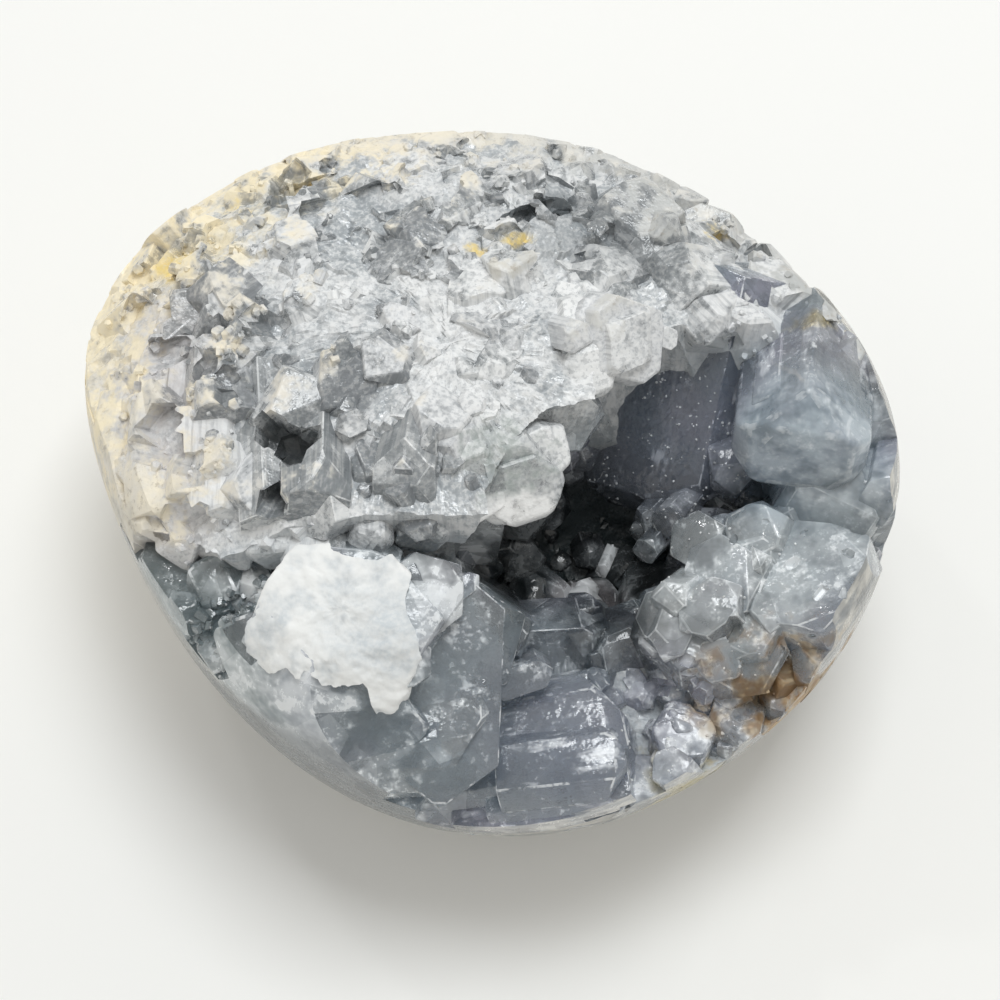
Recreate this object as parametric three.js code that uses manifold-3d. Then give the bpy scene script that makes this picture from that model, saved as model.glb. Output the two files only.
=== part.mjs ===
// Celestite crystal cluster: one half of a small geode. The outside is ground smooth like a pebble, with a
// flat to stand on. The top is broken open: a raised, rough ledge of massive celestite on one side, and a
// hollow lined with blocky blue-grey crystals on the other.
// Millimetres, +Z up. The origin is on the resting face, under the middle of the cluster.
import * as THREE from "three";
import { ConvexGeometry } from "three/addons/geometries/ConvexGeometry.js";
import { mergeVertices } from "three/addons/utils/BufferGeometryUtils.js";
import Module from "manifold-3d";

const wasm = await Module();
wasm.setup();

// Driving dimensions
const LENGTH = 100; // across X, the longest way
const WAIST_HEIGHT = 31; // height of the widest section
const CROWN_RISE = 24; // from the waist to where the crown would be, unbroken
const KEEL_DEPTH = 33.5; // from the waist to the keel, before the resting flat is ground
const ROUNDING = 2.4; // 2 is an ellipsoid, more is squarer
const FLAT_CRISPNESS = 13; // how crisply the ground flats meet
const SEAM = 0.3; // gap between the wall and the crystals' crust
const CRUST_THICKNESS = 1.6; // the thinnest layer that joins the crystals' feet

const WELD = 1e-3; // corners closer than this are one
const RADIANS = Math.PI / 180;
const GOLDEN_ANGLE = Math.PI * (3 - Math.sqrt(5));
const UP = new THREE.Vector3(0, 0, 1);

// Ground flats of the outside: the compass turn that each faces, from +X towards +Y, and how far it reaches
// from the middle, as a share of half the length
const GROUND_FLATS = [
  { turn: 0, reach: 1.066 },
  { turn: 30, reach: 0.975 },
  { turn: 58, reach: 0.91 },
  { turn: 90, reach: 0.915 },
  { turn: 120, reach: 1.005 },
  { turn: 150, reach: 1.105 },
  { turn: 178, reach: 1.055 },
  { turn: 203, reach: 0.885 },
  { turn: 224, reach: 0.853 },
  { turn: 247, reach: 0.88 },
  { turn: 272, reach: 0.905 },
  { turn: 300, reach: 0.915 },
  { turn: 322, reach: 0.992 },
  { turn: 342, reach: 1.037 },
];

// What is broken out of the unbroken stone, as ellipsoids. spread is how far apart the crystals on its
// wall stand, size is their width, and top is the height that they end at.
const BOWLS = [
  { centre: [39, -8, 50], radii: [28, 25, 26], spread: 9.5, size: 12, top: 36 },
  { centre: [-8, -33, 48], radii: [47, 20, 28], spread: 9.5, size: 12, top: 34 },
  { centre: [14, -10, 34], radii: [18, 15, 22], spread: 9, size: 10, top: 32 },
  { centre: [24, -29, 43], radii: [17, 14, 19], spread: 9, size: 9, top: 43 },
  { centre: [-15, -14, 37], radii: [23, 9, 5], spread: 40, size: 6, top: 37 },
  { centre: [20, 3, 42], radii: [9, 9, 14], spread: 40, size: 6, top: 40 },
];
// The ledge is what is left under this dome, and its rough crystals grow out of the dome's surface
const DOME = { centre: [-4, 7, 14], radii: [53, 48, 35.5], spread: 8.2, size: 11 };

// The largest crystals. head is the tip's place, turn the compass turn that the crystal leans to, lean its
// angle from upright, and roll its turn about its own axis.
const HOLLOW_CRYSTALS = {
  frosted_block: {
    head: [-16, -26, 46.5], turn: 262, lean: 10, roll: 5,
    width: 23, thickness: 18, length: 30, flat: 0.95,
  },
  front_block: {
    head: [-14, -33, 37], turn: 250, lean: 6, roll: 3,
    width: 30, thickness: 17, length: 22, flat: 0.9,
  },
  frosted_shoulder: {
    head: [-7, -22, 45], turn: 300, lean: 24, roll: 40,
    width: 12, thickness: 9, length: 20, flat: 0.7,
  },
  smooth_prism: {
    head: [-3, -25, 38], turn: 280, lean: 34, roll: 20,
    width: 17, thickness: 17, length: 26, flat: 0.5,
  },
  lying_slab: {
    head: [17, -33, 29], turn: 4, lean: 76, roll: 96,
    width: 18, thickness: 10, length: 30, flat: 0.2,
  },
  arched_plate: {
    head: [7, -18, 31], turn: 92, lean: 30, roll: 4,
    width: 16, thickness: 7, length: 18, flat: 0.6,
  },
  green_plate: {
    head: [16, -18, 29], turn: 110, lean: 36, roll: 20,
    width: 13, thickness: 7, length: 16, flat: 0.4,
  },
  dark_face: {
    head: [20, 1, 20], turn: 256, lean: 127, roll: 0,
    width: 27, thickness: 14, length: 32, flat: 0.25,
  },
  blue_prism: {
    head: [36.5, -3.5, 42], turn: 262, lean: 70, roll: 82,
    width: 17, thickness: 16, length: 22, flat: 0.5,
  },
  green_prism: {
    head: [40, -8, 34], turn: 256, lean: 60, roll: 60,
    width: 16, thickness: 12, length: 22, flat: 0.5,
  },
  east_spear: {
    head: [21, -24, 34], turn: 232, lean: 46, roll: 40,
    width: 14, thickness: 11, length: 22, flat: 0.1,
  },
  east_window: {
    head: [27, -16, 36], turn: 200, lean: 34, roll: 15,
    width: 12, thickness: 10, length: 18, flat: 0.8,
  },
  pale_block: {
    head: [37, -16, 38], turn: 150, lean: 22, roll: 35,
    width: 18, thickness: 14, length: 20, flat: 0.7,
  },
  clear_dome: {
    head: [30, -9, 36], turn: 140, lean: 40, roll: 10,
    width: 12, thickness: 10, length: 16, flat: 0.3,
  },
  low_block: {
    head: [29, -24, 34], turn: 250, lean: 22, roll: 60,
    width: 14, thickness: 11, length: 16, flat: 0.6,
  },
  rim_stub_east: {
    head: [29, -30, 30], turn: 100, lean: 16, roll: 20,
    width: 8, thickness: 8, length: 11, flat: 0.5,
  },
  rim_stub_mid: {
    head: [23, -32, 30], turn: 80, lean: 12, roll: 60,
    width: 9, thickness: 7, length: 11, flat: 0.5,
  },
  rim_stub_south: {
    head: [19, -37, 28], turn: 60, lean: 18, roll: 0,
    width: 9, thickness: 8, length: 11, flat: 0.3,
  },
  dark_slab: {
    head: [-34, -15, 36], turn: 60, lean: 12, roll: 30,
    width: 16, thickness: 13, length: 16, flat: 0.9,
  },
  grey_slab: {
    head: [-27, -20, 30], turn: 20, lean: 14, roll: 75,
    width: 14, thickness: 11, length: 14, flat: 0.8,
  },
  west_foot: {
    head: [-30, -26, 33], turn: 230, lean: 16, roll: 50,
    width: 15, thickness: 13, length: 16, flat: 0.8,
  },
  gap_spear: {
    head: [19, -6, 27], turn: 235, lean: 64, roll: 0,
    width: 6, thickness: 5, length: 14, flat: 0.2,
  },
};
const LEDGE_CRYSTALS = {
  knob: {
    head: [3, -8.5, 45.5], turn: 282, lean: 60, roll: 80,
    width: 13, thickness: 11, length: 22, flat: 0.8,
  },
  east_pyramid: {
    head: [16.5, 8, 49.5], turn: 312, lean: 44, roll: 42,
    width: 12, thickness: 11, length: 20, flat: 0.8,
  },
  under_pyramid: {
    head: [10, 0, 44], turn: 296, lean: 62, roll: 0,
    width: 11, thickness: 8, length: 16, flat: 0.5,
  },
  white_edge: {
    head: [21.5, 20, 44], turn: 300, lean: 54, roll: 60,
    width: 13, thickness: 11, length: 18, flat: 0.4,
  },
  north_east_tooth: {
    head: [36, 20, 40], turn: 40, lean: 20, roll: 45,
    width: 8, thickness: 7, length: 12, flat: 0.5,
  },
  slate_plate: {
    head: [-9, -12, 46], turn: 262, lean: 70, roll: 88,
    width: 17, thickness: 7, length: 20, flat: 0.5,
  },
  second_plate: {
    head: [-19, -13, 46], turn: 272, lean: 74, roll: 84,
    width: 14, thickness: 7, length: 18, flat: 0.7,
  },
  column_1: {
    head: [-44, -7, 34], turn: 262, lean: 98, roll: 20,
    width: 11, thickness: 10, length: 20, flat: 0.9,
  },
  column_2: {
    head: [-38, -10, 39], turn: 266, lean: 96, roll: 50,
    width: 10, thickness: 9, length: 22, flat: 0.9,
  },
  column_3: {
    head: [-31, -12, 42], turn: 270, lean: 94, roll: 10,
    width: 11, thickness: 9, length: 22, flat: 0.9,
  },
  column_4: {
    head: [-24, -13, 44], turn: 275, lean: 90, roll: 40,
    width: 10, thickness: 8, length: 20, flat: 0.9,
  },
};

// A celestine cell is orthorhombic, and a face's Miller indices divided by these edges give its normal
const CELL = { a: 8.36, b: 5.35, c: 6.87 };

// Seeded random numbers, so that each build gives the same cluster
function randomSource(seed) {
  let state = seed;
  return () => {
    state = (state + 0x6d2b79f5) | 0;
    let mixed = Math.imul(state ^ (state >>> 15), 1 | state);
    mixed = (mixed + Math.imul(mixed ^ (mixed >>> 7), 61 | mixed)) ^ mixed;
    return ((mixed ^ (mixed >>> 14)) >>> 0) / 4294967296;
  };
}

const between = (low, high, random) => low + (high - low) * random();

function solidFrom(geometry) {
  const bare = geometry.clone();
  for (const name of Object.keys(bare.attributes)) {
    if (name !== "position") bare.deleteAttribute(name);
  }
  const merged = mergeVertices(bare, WELD);
  return new wasm.Manifold(
    new wasm.Mesh({
      numProp: 3,
      vertProperties: merged.attributes.position.array,
      triVerts: new Uint32Array(merged.index.array),
    }),
  );
}

function geometryFrom(solid) {
  const { vertProperties, triVerts } = solid.getMesh();
  const geometry = new THREE.BufferGeometry();
  geometry.setAttribute("position", new THREE.BufferAttribute(vertProperties, 3));
  geometry.setIndex(new THREE.BufferAttribute(triVerts, 1));
  return geometry;
}

const union = (solids) => wasm.Manifold.union(solids);

// Half the width of the waist in a compass direction: flats blended where they meet
function waistRadius(turn) {
  let sum = 0;
  for (const flat of GROUND_FLATS) {
    const facing = Math.cos(turn - flat.turn * RADIANS);
    if (facing > 0) sum += (facing / (flat.reach * LENGTH * 0.5)) ** FLAT_CRISPNESS;
  }
  return sum ** (-1 / FLAT_CRISPNESS);
}

// Below 1 inside the unbroken stone, above 1 outside
function stoneDepth(point) {
  const out = Math.hypot(point.x, point.y) / waistRadius(Math.atan2(point.y, point.x));
  const rise = point.z > WAIST_HEIGHT ? CROWN_RISE : KEEL_DEPTH;
  return out ** ROUNDING + Math.abs((point.z - WAIST_HEIGHT) / rise) ** ROUNDING;
}

// The stone before it is broken open: a superellipsoid on the waist's outline, flat underneath
function unbrokenStone() {
  const AROUND = 44;
  const LEVELS = 18;
  const geometry = new THREE.SphereGeometry(1, AROUND, LEVELS);
  geometry.rotateX(Math.PI / 2);
  const position = geometry.attributes.position;
  const squared = (value) => Math.sign(value) * Math.abs(value) ** (2 / ROUNDING);
  for (let i = 0; i < position.count; i++) {
    const point = new THREE.Vector3().fromBufferAttribute(position, i);
    const turn = Math.atan2(point.y, point.x);
    const out = waistRadius(turn) * squared(Math.hypot(point.x, point.y));
    const rise = point.z > 0 ? CROWN_RISE : KEEL_DEPTH;
    position.setXYZ(
      i,
      out * Math.cos(turn),
      out * Math.sin(turn),
      WAIST_HEIGHT + rise * squared(point.z),
    );
  }
  const aboveGround = new THREE.BoxGeometry(2 * LENGTH, 2 * LENGTH, LENGTH).translate(0, 0, LENGTH / 2);
  return solidFrom(geometry).intersect(solidFrom(aboveGround));
}

function bowlSolid({ centre, radii }, inset = 0) {
  const DETAIL = 2;
  const geometry = new THREE.IcosahedronGeometry(1, DETAIL);
  geometry.scale(...radii.map((radius) => radius - inset));
  geometry.translate(...centre);
  return solidFrom(geometry);
}

function insideBowl({ centre, radii }, point, reach = 0.98) {
  const away = point.toArray().map((value, i) => (value - centre[i]) / radii[i]);
  return Math.hypot(...away) < reach;
}

// Everything above the ledge's dome
function aboveDome(inset = 0) {
  const block = new THREE.BoxGeometry(2 * LENGTH, 2 * LENGTH, LENGTH);
  block.translate(0, 0, LENGTH / 2 + WAIST_HEIGHT);
  return solidFrom(block).subtract(bowlSolid(DOME, -inset));
}

// Corners of the convex body that a list of planes { normal, distance } closes
function cornersOf(planes) {
  const TOLERANCE = 1e-6;
  const corners = [];
  for (let i = 0; i < planes.length; i++) {
    for (let j = i + 1; j < planes.length; j++) {
      for (let k = j + 1; k < planes.length; k++) {
        const [p, q, r] = [planes[i], planes[j], planes[k]];
        const acrossQR = q.normal.clone().cross(r.normal);
        const volume = p.normal.dot(acrossQR);
        if (Math.abs(volume) < TOLERANCE) continue;
        const corner = acrossQR
          .multiplyScalar(p.distance)
          .add(r.normal.clone().cross(p.normal).multiplyScalar(q.distance))
          .add(p.normal.clone().cross(q.normal).multiplyScalar(r.distance))
          .divideScalar(volume);
        const inside = planes.every((s) => s.normal.dot(corner) < s.distance + TOLERANCE);
        const known = corners.some((c) => c.distanceTo(corner) < 1e-3);
        if (inside && !known) corners.push(corner);
      }
    }
  }
  return corners;
}

// The normal of the face (h k l). A crystal grows along its a axis, which is its own +Z here, with b along
// +X and c along +Y.
function faceNormal(h, k, l) {
  return new THREE.Vector3(k / CELL.b, l / CELL.c, h / CELL.a).normalize();
}

// One celestine crystal, its head at the origin and its root below. flat is the share of the chisel-shaped
// tip that its flat end face cuts off, and swell moves every face outwards.
function crystalSolid({ width, thickness, length, flat }, swell = 0) {
  const chiselHeight = ((CELL.a / CELL.b) * width) / 4;
  const ridgeHeight = flat * chiselHeight;
  const planes = [];
  const face = (h, k, l, through) => {
    const normal = faceNormal(h, k, l);
    planes.push({ normal, distance: normal.dot(new THREE.Vector3(...through)) + swell });
  };
  face(1, 0, 0, [0, 0, 0]);
  for (const side of [-1, 1]) {
    face(0, 0, side, [0, (side * thickness) / 2, 0]);
    face(2, side, 0, [0, 0, ridgeHeight]);
    face(1, 0, side, [0, side * thickness * 0.2, ridgeHeight]);
    for (const edge of [-1, 1]) {
      face(0, edge, side, [(edge * width) / 2, 0, 0]);
    }
  }
  planes.push({ normal: new THREE.Vector3(0, 0, -1), distance: length + swell });
  return solidFrom(new ConvexGeometry(cornersOf(planes)));
}

// The direction of an axis that leans from the vertical by lean, towards a compass turn
function axisTowards(turn, lean) {
  return new THREE.Vector3(
    Math.sin(lean * RADIANS) * Math.cos(turn * RADIANS),
    Math.sin(lean * RADIANS) * Math.sin(turn * RADIANS),
    Math.cos(lean * RADIANS),
  );
}

function placed(solid, head, axis, roll) {
  const lean = new THREE.Quaternion().setFromUnitVectors(UP, axis);
  const spin = new THREE.Quaternion().setFromAxisAngle(UP, roll * RADIANS);
  const matrix = new THREE.Matrix4().compose(head, lean.multiply(spin), new THREE.Vector3(1, 1, 1));
  return solid.transform(matrix.elements);
}

function largeCrystal(crystal, swell = 0) {
  const axis = axisTowards(crystal.turn, crystal.lean);
  return placed(crystalSolid(crystal, swell), new THREE.Vector3(...crystal.head), axis, crystal.roll);
}

// A small crystal that grows from foot along axis. buried is how much of it is in the wall.
function smallCrystal({ foot, axis, width, rise, buried, random }) {
  const shape = {
    width,
    thickness: width * between(0.6, 0.95, random),
    length: buried + rise,
    flat: between(0.1, 0.9, random),
  };
  const head = foot.clone().addScaledVector(axis, rise);
  const roll = between(0, 180, random);
  return (swell) => placed(crystalSolid(shape, swell), head, axis, roll);
}

// A direction that changes slowly over the stone, so that neighbours grow nearly parallel
function drift({ x, y, z }) {
  return new THREE.Vector3(Math.sin(y / 7 + 1), Math.sin(x / 9 + z / 6), Math.sin(x / 8 + 2));
}

function scattered(axis, amount, random) {
  const swing = new THREE.Vector3(between(-1, 1, random), between(-1, 1, random), between(-1, 1, random));
  return axis.clone().addScaledVector(swing, amount).normalize();
}

// Whether a point is in a large crystal or close beside it
function within({ head, turn, lean, width, length }, point) {
  const tip = new THREE.Vector3(...head);
  const root = tip.clone().addScaledVector(axisTowards(turn, lean), -0.7 * length);
  const nearest = new THREE.Line3(tip, root).closestPointToPoint(point, true, new THREE.Vector3());
  return nearest.distanceTo(point) < width * 0.5;
}

// Places all over an ellipsoid, on a golden-angle spiral, with the direction outwards at each
function spiralOver({ centre, radii, spread }) {
  const meanRadius = Math.cbrt(radii[0] * radii[1] * radii[2]);
  const count = Math.round((4 * Math.PI * meanRadius ** 2) / spread ** 2);
  return Array.from({ length: count }, (_, i) => {
    const height = 1 - (2 * (i + 0.5)) / count;
    const ring = Math.sqrt(1 - height * height);
    const out = [ring * Math.cos(i * GOLDEN_ANGLE), ring * Math.sin(i * GOLDEN_ANGLE), height];
    return {
      foot: new THREE.Vector3(...out.map((value, k) => centre[k] + radii[k] * value)),
      outwards: new THREE.Vector3(...out.map((value, k) => value / radii[k])).normalize(),
    };
  });
}

// Crystals all over a bowl's wall, wherever it is part of the broken surface. At the rim they are broader
// and stand more upright, so that the ground outside cuts them off flush.
function liningCrystals(bowl, random) {
  const crystals = [];
  const others = BOWLS.filter((other) => other !== bowl);
  for (const { foot, outwards } of spiralOver(bowl)) {
    const depth = stoneDepth(foot);
    if (depth > 1.02 || foot.z < 0 || others.some((other) => insideBowl(other, foot))) continue;
    if (foot.z > bowl.top || Object.values(HOLLOW_CRYSTALS).some((c) => within(c, foot))) continue;
    const inwards = outwards.negate();
    const atRim = depth > 0.85;
    const axis = scattered(atRim ? inwards.add(UP) : inwards, 0.4, random);
    const width = bowl.size * between(0.7, 1.3, random) * (atRim ? 1.3 : 1);
    const rise = width * (atRim ? 0.6 : between(0.3, 0.8, random));
    crystals.push(smallCrystal({ foot, axis, width, rise, buried: 3, random }));
  }
  return crystals;
}

// Low, strongly intergrown crystals all over the ledge's dome
function ledgeTopCrystals(random) {
  const crystals = [];
  for (const { foot, outwards } of spiralOver(DOME)) {
    const depth = stoneDepth(foot);
    const hollowed = BOWLS.some((bowl) => insideBowl(bowl, foot, 1.06));
    if (foot.z < WAIST_HEIGHT || depth > 1.02 || hollowed) continue;
    const axis = scattered(outwards.addScaledVector(drift(foot), 0.8), 0.2, random);
    const width = DOME.size * between(0.7, 1.3, random);
    const rise = between(0.2, depth > 0.82 ? 0.6 : 3.2, random);
    crystals.push(smallCrystal({ foot, axis, width, rise, buried: 5, random }));
  }
  return crystals;
}

// The ledge's crystals belong to the wall that they grow from. swell makes room for them in the crust.
function ledgeCrystals(swell = 0) {
  const large = Object.values(LEDGE_CRYSTALS).map((crystal) => largeCrystal(crystal, swell));
  const small = ledgeTopCrystals(randomSource(7)).map((grow) => grow(swell));
  return union([...large, ...small]);
}

// The outer skin of a solid's largest piece: loose crumbs and sealed cavities are left out. Slivers too thin
// to keep are smoothed away first, because one of them can hide a cavity's seal.
function largestPiece(solid) {
  const SLIVER = 0.05;
  const pieces = solidFrom(geometryFrom(solid.simplify(SLIVER))).decompose();
  return pieces.reduce((best, piece) => (piece.volume() > best.volume() ? piece : best));
}

const hollow = (inset) => union(BOWLS.map((bowl) => bowlSolid(bowl, inset)));

function geodeWall(stone) {
  const broken = stone.subtract(hollow(0)).subtract(aboveDome());
  return largestPiece(broken.add(ledgeCrystals().intersect(stone)));
}

function crystalCrust(stone) {
  const random = randomSource(23);
  const crystals = union([
    ...Object.values(HOLLOW_CRYSTALS).map((crystal) => largeCrystal(crystal)),
    ...BOWLS.flatMap((bowl) => liningCrystals(bowl, random)).map((grow) => grow(0)),
  ]);
  const skin = hollow(SEAM).subtract(hollow(SEAM + CRUST_THICKNESS)).subtract(aboveDome(SEAM));
  const room = hollow(SEAM).add(aboveDome(SEAM));
  const crust = crystals.intersect(room).add(skin);
  return largestPiece(crust.intersect(stone).subtract(ledgeCrystals(SEAM)));
}

function namedMesh(name, solid, material) {
  const mesh = new THREE.Mesh(geometryFrom(solid), material);
  mesh.name = name;
  return mesh;
}

const stone = unbrokenStone();
const massive = new THREE.MeshStandardMaterial({ color: 0xc9c6bd, roughness: 0.6, metalness: 0 });
const celestite = new THREE.MeshStandardMaterial({ color: 0x93a3ae, roughness: 0.15, metalness: 0 });

const cluster = new THREE.Group();
cluster.add(namedMesh("geode_wall", geodeWall(stone), massive));
cluster.add(namedMesh("crystal_crust", crystalCrust(stone), celestite));

// The origin goes under the middle
const middle = new THREE.Box3().setFromObject(cluster).getCenter(new THREE.Vector3());
for (const mesh of cluster.children) mesh.geometry.translate(-middle.x, -middle.y, 0);

export default cluster;
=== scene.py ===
# Celestite crystal cluster: the looks. Shapes are made in millimetres, in the same place as the solids, and
# turned into metres when their mesh is written.
import itertools
import math

import bmesh
import bpy
import numpy as np
from mathutils import Matrix, Quaternion, Vector, noise


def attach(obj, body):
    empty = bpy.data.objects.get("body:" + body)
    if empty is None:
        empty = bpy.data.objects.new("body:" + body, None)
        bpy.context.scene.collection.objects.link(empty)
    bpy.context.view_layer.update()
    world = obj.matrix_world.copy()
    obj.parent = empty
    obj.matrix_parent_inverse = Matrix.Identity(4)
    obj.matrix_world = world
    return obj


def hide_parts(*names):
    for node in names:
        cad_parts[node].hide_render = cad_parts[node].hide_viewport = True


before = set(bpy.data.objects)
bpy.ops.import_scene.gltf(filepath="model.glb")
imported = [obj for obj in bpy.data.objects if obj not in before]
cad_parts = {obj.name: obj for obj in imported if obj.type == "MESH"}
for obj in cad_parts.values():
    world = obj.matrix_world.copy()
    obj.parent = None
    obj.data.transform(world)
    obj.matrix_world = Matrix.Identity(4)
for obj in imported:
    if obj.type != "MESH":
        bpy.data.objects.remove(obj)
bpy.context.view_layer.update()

noise.seed_set(3)  # without a seed, noise_vector is different in every run

# The stone's shape, from the same named values as the solids
LENGTH = 100
WAIST_HEIGHT = 31
CROWN_RISE = 24
KEEL_DEPTH = 33.5
ROUNDING = 2.4
FLAT_CRISPNESS = 13
MIDDLE = Vector((0.2790, 0.9097, 0))  # the solids' origin is under their middle
GOLDEN_ANGLE = math.pi * (3 - math.sqrt(5))
UP = Vector((0, 0, 1))
CELL = {"a": 8.36, "b": 5.35, "c": 6.87}
GROUND_FLATS = [
    (0, 1.066), (30, 0.975), (58, 0.91), (90, 0.915), (120, 1.005), (150, 1.105), (178, 1.055),
    (203, 0.885), (224, 0.853), (247, 0.88), (272, 0.905), (300, 0.915), (322, 0.992), (342, 1.037),
]
# Centre, radii, spacing and size of the crystals on each bowl's wall, and the height that they end at
BOWLS = [
    ((39, -8, 50), (28, 25, 26), 9.5, 12, 36),
    ((-8, -33, 48), (47, 20, 28), 9.5, 12, 34),
    ((14, -10, 34), (18, 15, 22), 9, 10, 32),
    ((24, -29, 43), (17, 14, 19), 9, 9, 43),
    ((-15, -14, 37), (23, 9, 5), 40, 6, 37),
    ((20, 3, 42), (9, 9, 14), 40, 6, 40),
]
DOME = ((-4, 7, 14), (53, 48, 35.5), 8.2, 11)
WEST_GAP = ((-40, -20.5, 37), (16, 9.5, 7.5))
WEAR = 0.25  # the ground outside stays this far within the solids
TALLEST = 53.1
GROUND_DEPTH = 0.985  # a face whose corners are all deeper than this was ground

# How many corners go round and down the meshes over a sphere's angles
WALL_GRID, DOME_GRID, BOWL_GRID = (300, 130), (420, 220), (130, 80)
TRIM_GRID, CRUST_GRID = (220, 90), (170, 110)
CRUST_SHARP, WALL_SHARP = math.radians(38), math.radians(24)  # edges above these angles stay sharp

# Looks
CELESTINE_IOR = 1.625
LEDGE_CLEARNESS = 0.5
GRAIN, GRAIN_STRETCH = (0.55, 2, 0.6), 0.94  # fine lines along a crystal: their noise, and how long they are

# Floor, light and camera, in metres but for the aim's height, which is in millimetres
FLOOR_REACH = 1.5
LIGHTS_AIM = Vector((0, 0, 0.03))
CAMERA_ELEVATION = math.radians(65)
CAMERA_AIM_HEIGHT = 27
CAMERA_DISTANCE, PIXEL = 0.300, 0.1224e-3
FRAME_RIGHT, FRAME_DOWN = 0.00165, 0.00147
SENSOR, IMAGE_WIDTH = 36, 1000

# Large crystals: head, turn, lean, roll, width, thickness, length, flat
HOLLOW_CRYSTALS = {
    "frosted_block": ((-16, -26, 46.5), 262, 10, 5, 23, 18, 30, 0.95),
    "front_block": ((-14, -33, 37), 250, 6, 3, 30, 17, 22, 0.9),
    "frosted_shoulder": ((-7, -22, 45), 300, 24, 40, 12, 9, 20, 0.7),
    "smooth_prism": ((-3, -25, 38), 280, 34, 20, 17, 17, 26, 0.5),
    "lying_slab": ((17, -33, 29), 4, 76, 96, 18, 10, 30, 0.2),
    "arched_plate": ((7, -18, 31), 92, 30, 4, 16, 7, 18, 0.6),
    "green_plate": ((16, -18, 29), 110, 36, 20, 13, 7, 16, 0.4),
    "dark_face": ((20, 1, 20), 256, 127, 0, 27, 14, 32, 0.25),
    "blue_prism": ((36.5, -3.5, 42), 262, 70, 82, 17, 16, 22, 0.5),
    "green_prism": ((40, -8, 34), 256, 60, 60, 16, 12, 22, 0.5),
    "east_spear": ((21, -24, 34), 232, 46, 40, 14, 11, 22, 0.1),
    "east_window": ((27, -16, 36), 200, 34, 15, 12, 10, 18, 0.8),
    "pale_block": ((37, -16, 38), 150, 22, 35, 18, 14, 20, 0.7),
    "clear_dome": ((30, -9, 36), 140, 40, 10, 12, 10, 16, 0.3),
    "low_block": ((29, -24, 34), 250, 22, 60, 14, 11, 16, 0.6),
    "rim_stub_east": ((29, -30, 30), 100, 16, 20, 8, 8, 11, 0.5),
    "rim_stub_mid": ((23, -32, 30), 80, 12, 60, 9, 7, 11, 0.5),
    "rim_stub_south": ((19, -37, 28), 60, 18, 0, 9, 8, 11, 0.3),
    "dark_slab": ((-34, -15, 36), 60, 12, 30, 16, 13, 16, 0.9),
    "grey_slab": ((-27, -20, 30), 20, 14, 75, 14, 11, 14, 0.8),
    "west_foot": ((-30, -26, 33), 230, 16, 50, 15, 13, 16, 0.8),
    "gap_spear": ((19, -6, 27), 235, 64, 0, 6, 5, 14, 0.2),
}
LEDGE_CRYSTALS = {
    "knob": ((3, -8.5, 45.5), 282, 60, 80, 13, 11, 22, 0.8),
    "east_pyramid": ((16.5, 8, 49.5), 312, 44, 42, 12, 11, 20, 0.8),
    "under_pyramid": ((10, 0, 44), 296, 62, 0, 11, 8, 16, 0.5),
    "white_edge": ((21.5, 20, 44), 300, 54, 60, 13, 11, 18, 0.4),
    "north_east_tooth": ((36, 20, 40), 40, 20, 45, 8, 7, 12, 0.5),
    "slate_plate": ((-9, -12, 46), 262, 70, 88, 17, 7, 20, 0.5),
    "second_plate": ((-19, -13, 46), 272, 74, 84, 14, 7, 18, 0.7),
    "column_1": ((-44, -7, 34), 262, 98, 20, 11, 10, 20, 0.9),
    "column_2": ((-38, -10, 39), 266, 96, 50, 10, 9, 22, 0.9),
    "column_3": ((-31, -12, 42), 270, 94, 10, 11, 9, 22, 0.9),
    "column_4": ((-24, -13, 44), 275, 90, 40, 10, 8, 20, 0.9),
}

# The ledge's crystals that no smaller ones grow on
SMOOTH_CRYSTALS = {
    name: row for name, row in LEDGE_CRYSTALS.items()
    if name != "north_east_tooth" and not name.startswith("column")
}
# How frosted a large crystal is, how many smaller ones grow from its sides, and how round its edges are worn,
# where not as most
FROST = {
    "knob": 0.7, "east_pyramid": 1.0, "under_pyramid": 0.4, "white_edge": 0.3, "slate_plate": 0.15,
    "second_plate": 0.15, "column_1": 0.6, "column_2": 0.55, "column_3": 0.6, "column_4": 0.5,
    "frosted_block": 0.4, "front_block": 0.15, "pale_block": 0.15, "rim_stub_east": 0.3, "rim_stub_mid": 0.3,
    "rim_stub_south": 0.35, "dark_face": 0.0, "smooth_prism": 0.05, "blue_prism": 0.12, "lying_slab": 0.08,
}
COMPANIONS = {
    "blue_prism": 2, "dark_face": 2, "lying_slab": 6, "smooth_prism": 3, "frosted_block": 2, "front_block": 5,
}
WORN = {
    "blue_prism": 0.9, "east_pyramid": 0.25, "lying_slab": 0.2, "knob": 0.9, "rim_stub_east": 0.45,
    "rim_stub_mid": 0.4, "rim_stub_south": 0.4, "column_1": 0.5, "column_3": 0.5,
}
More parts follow.
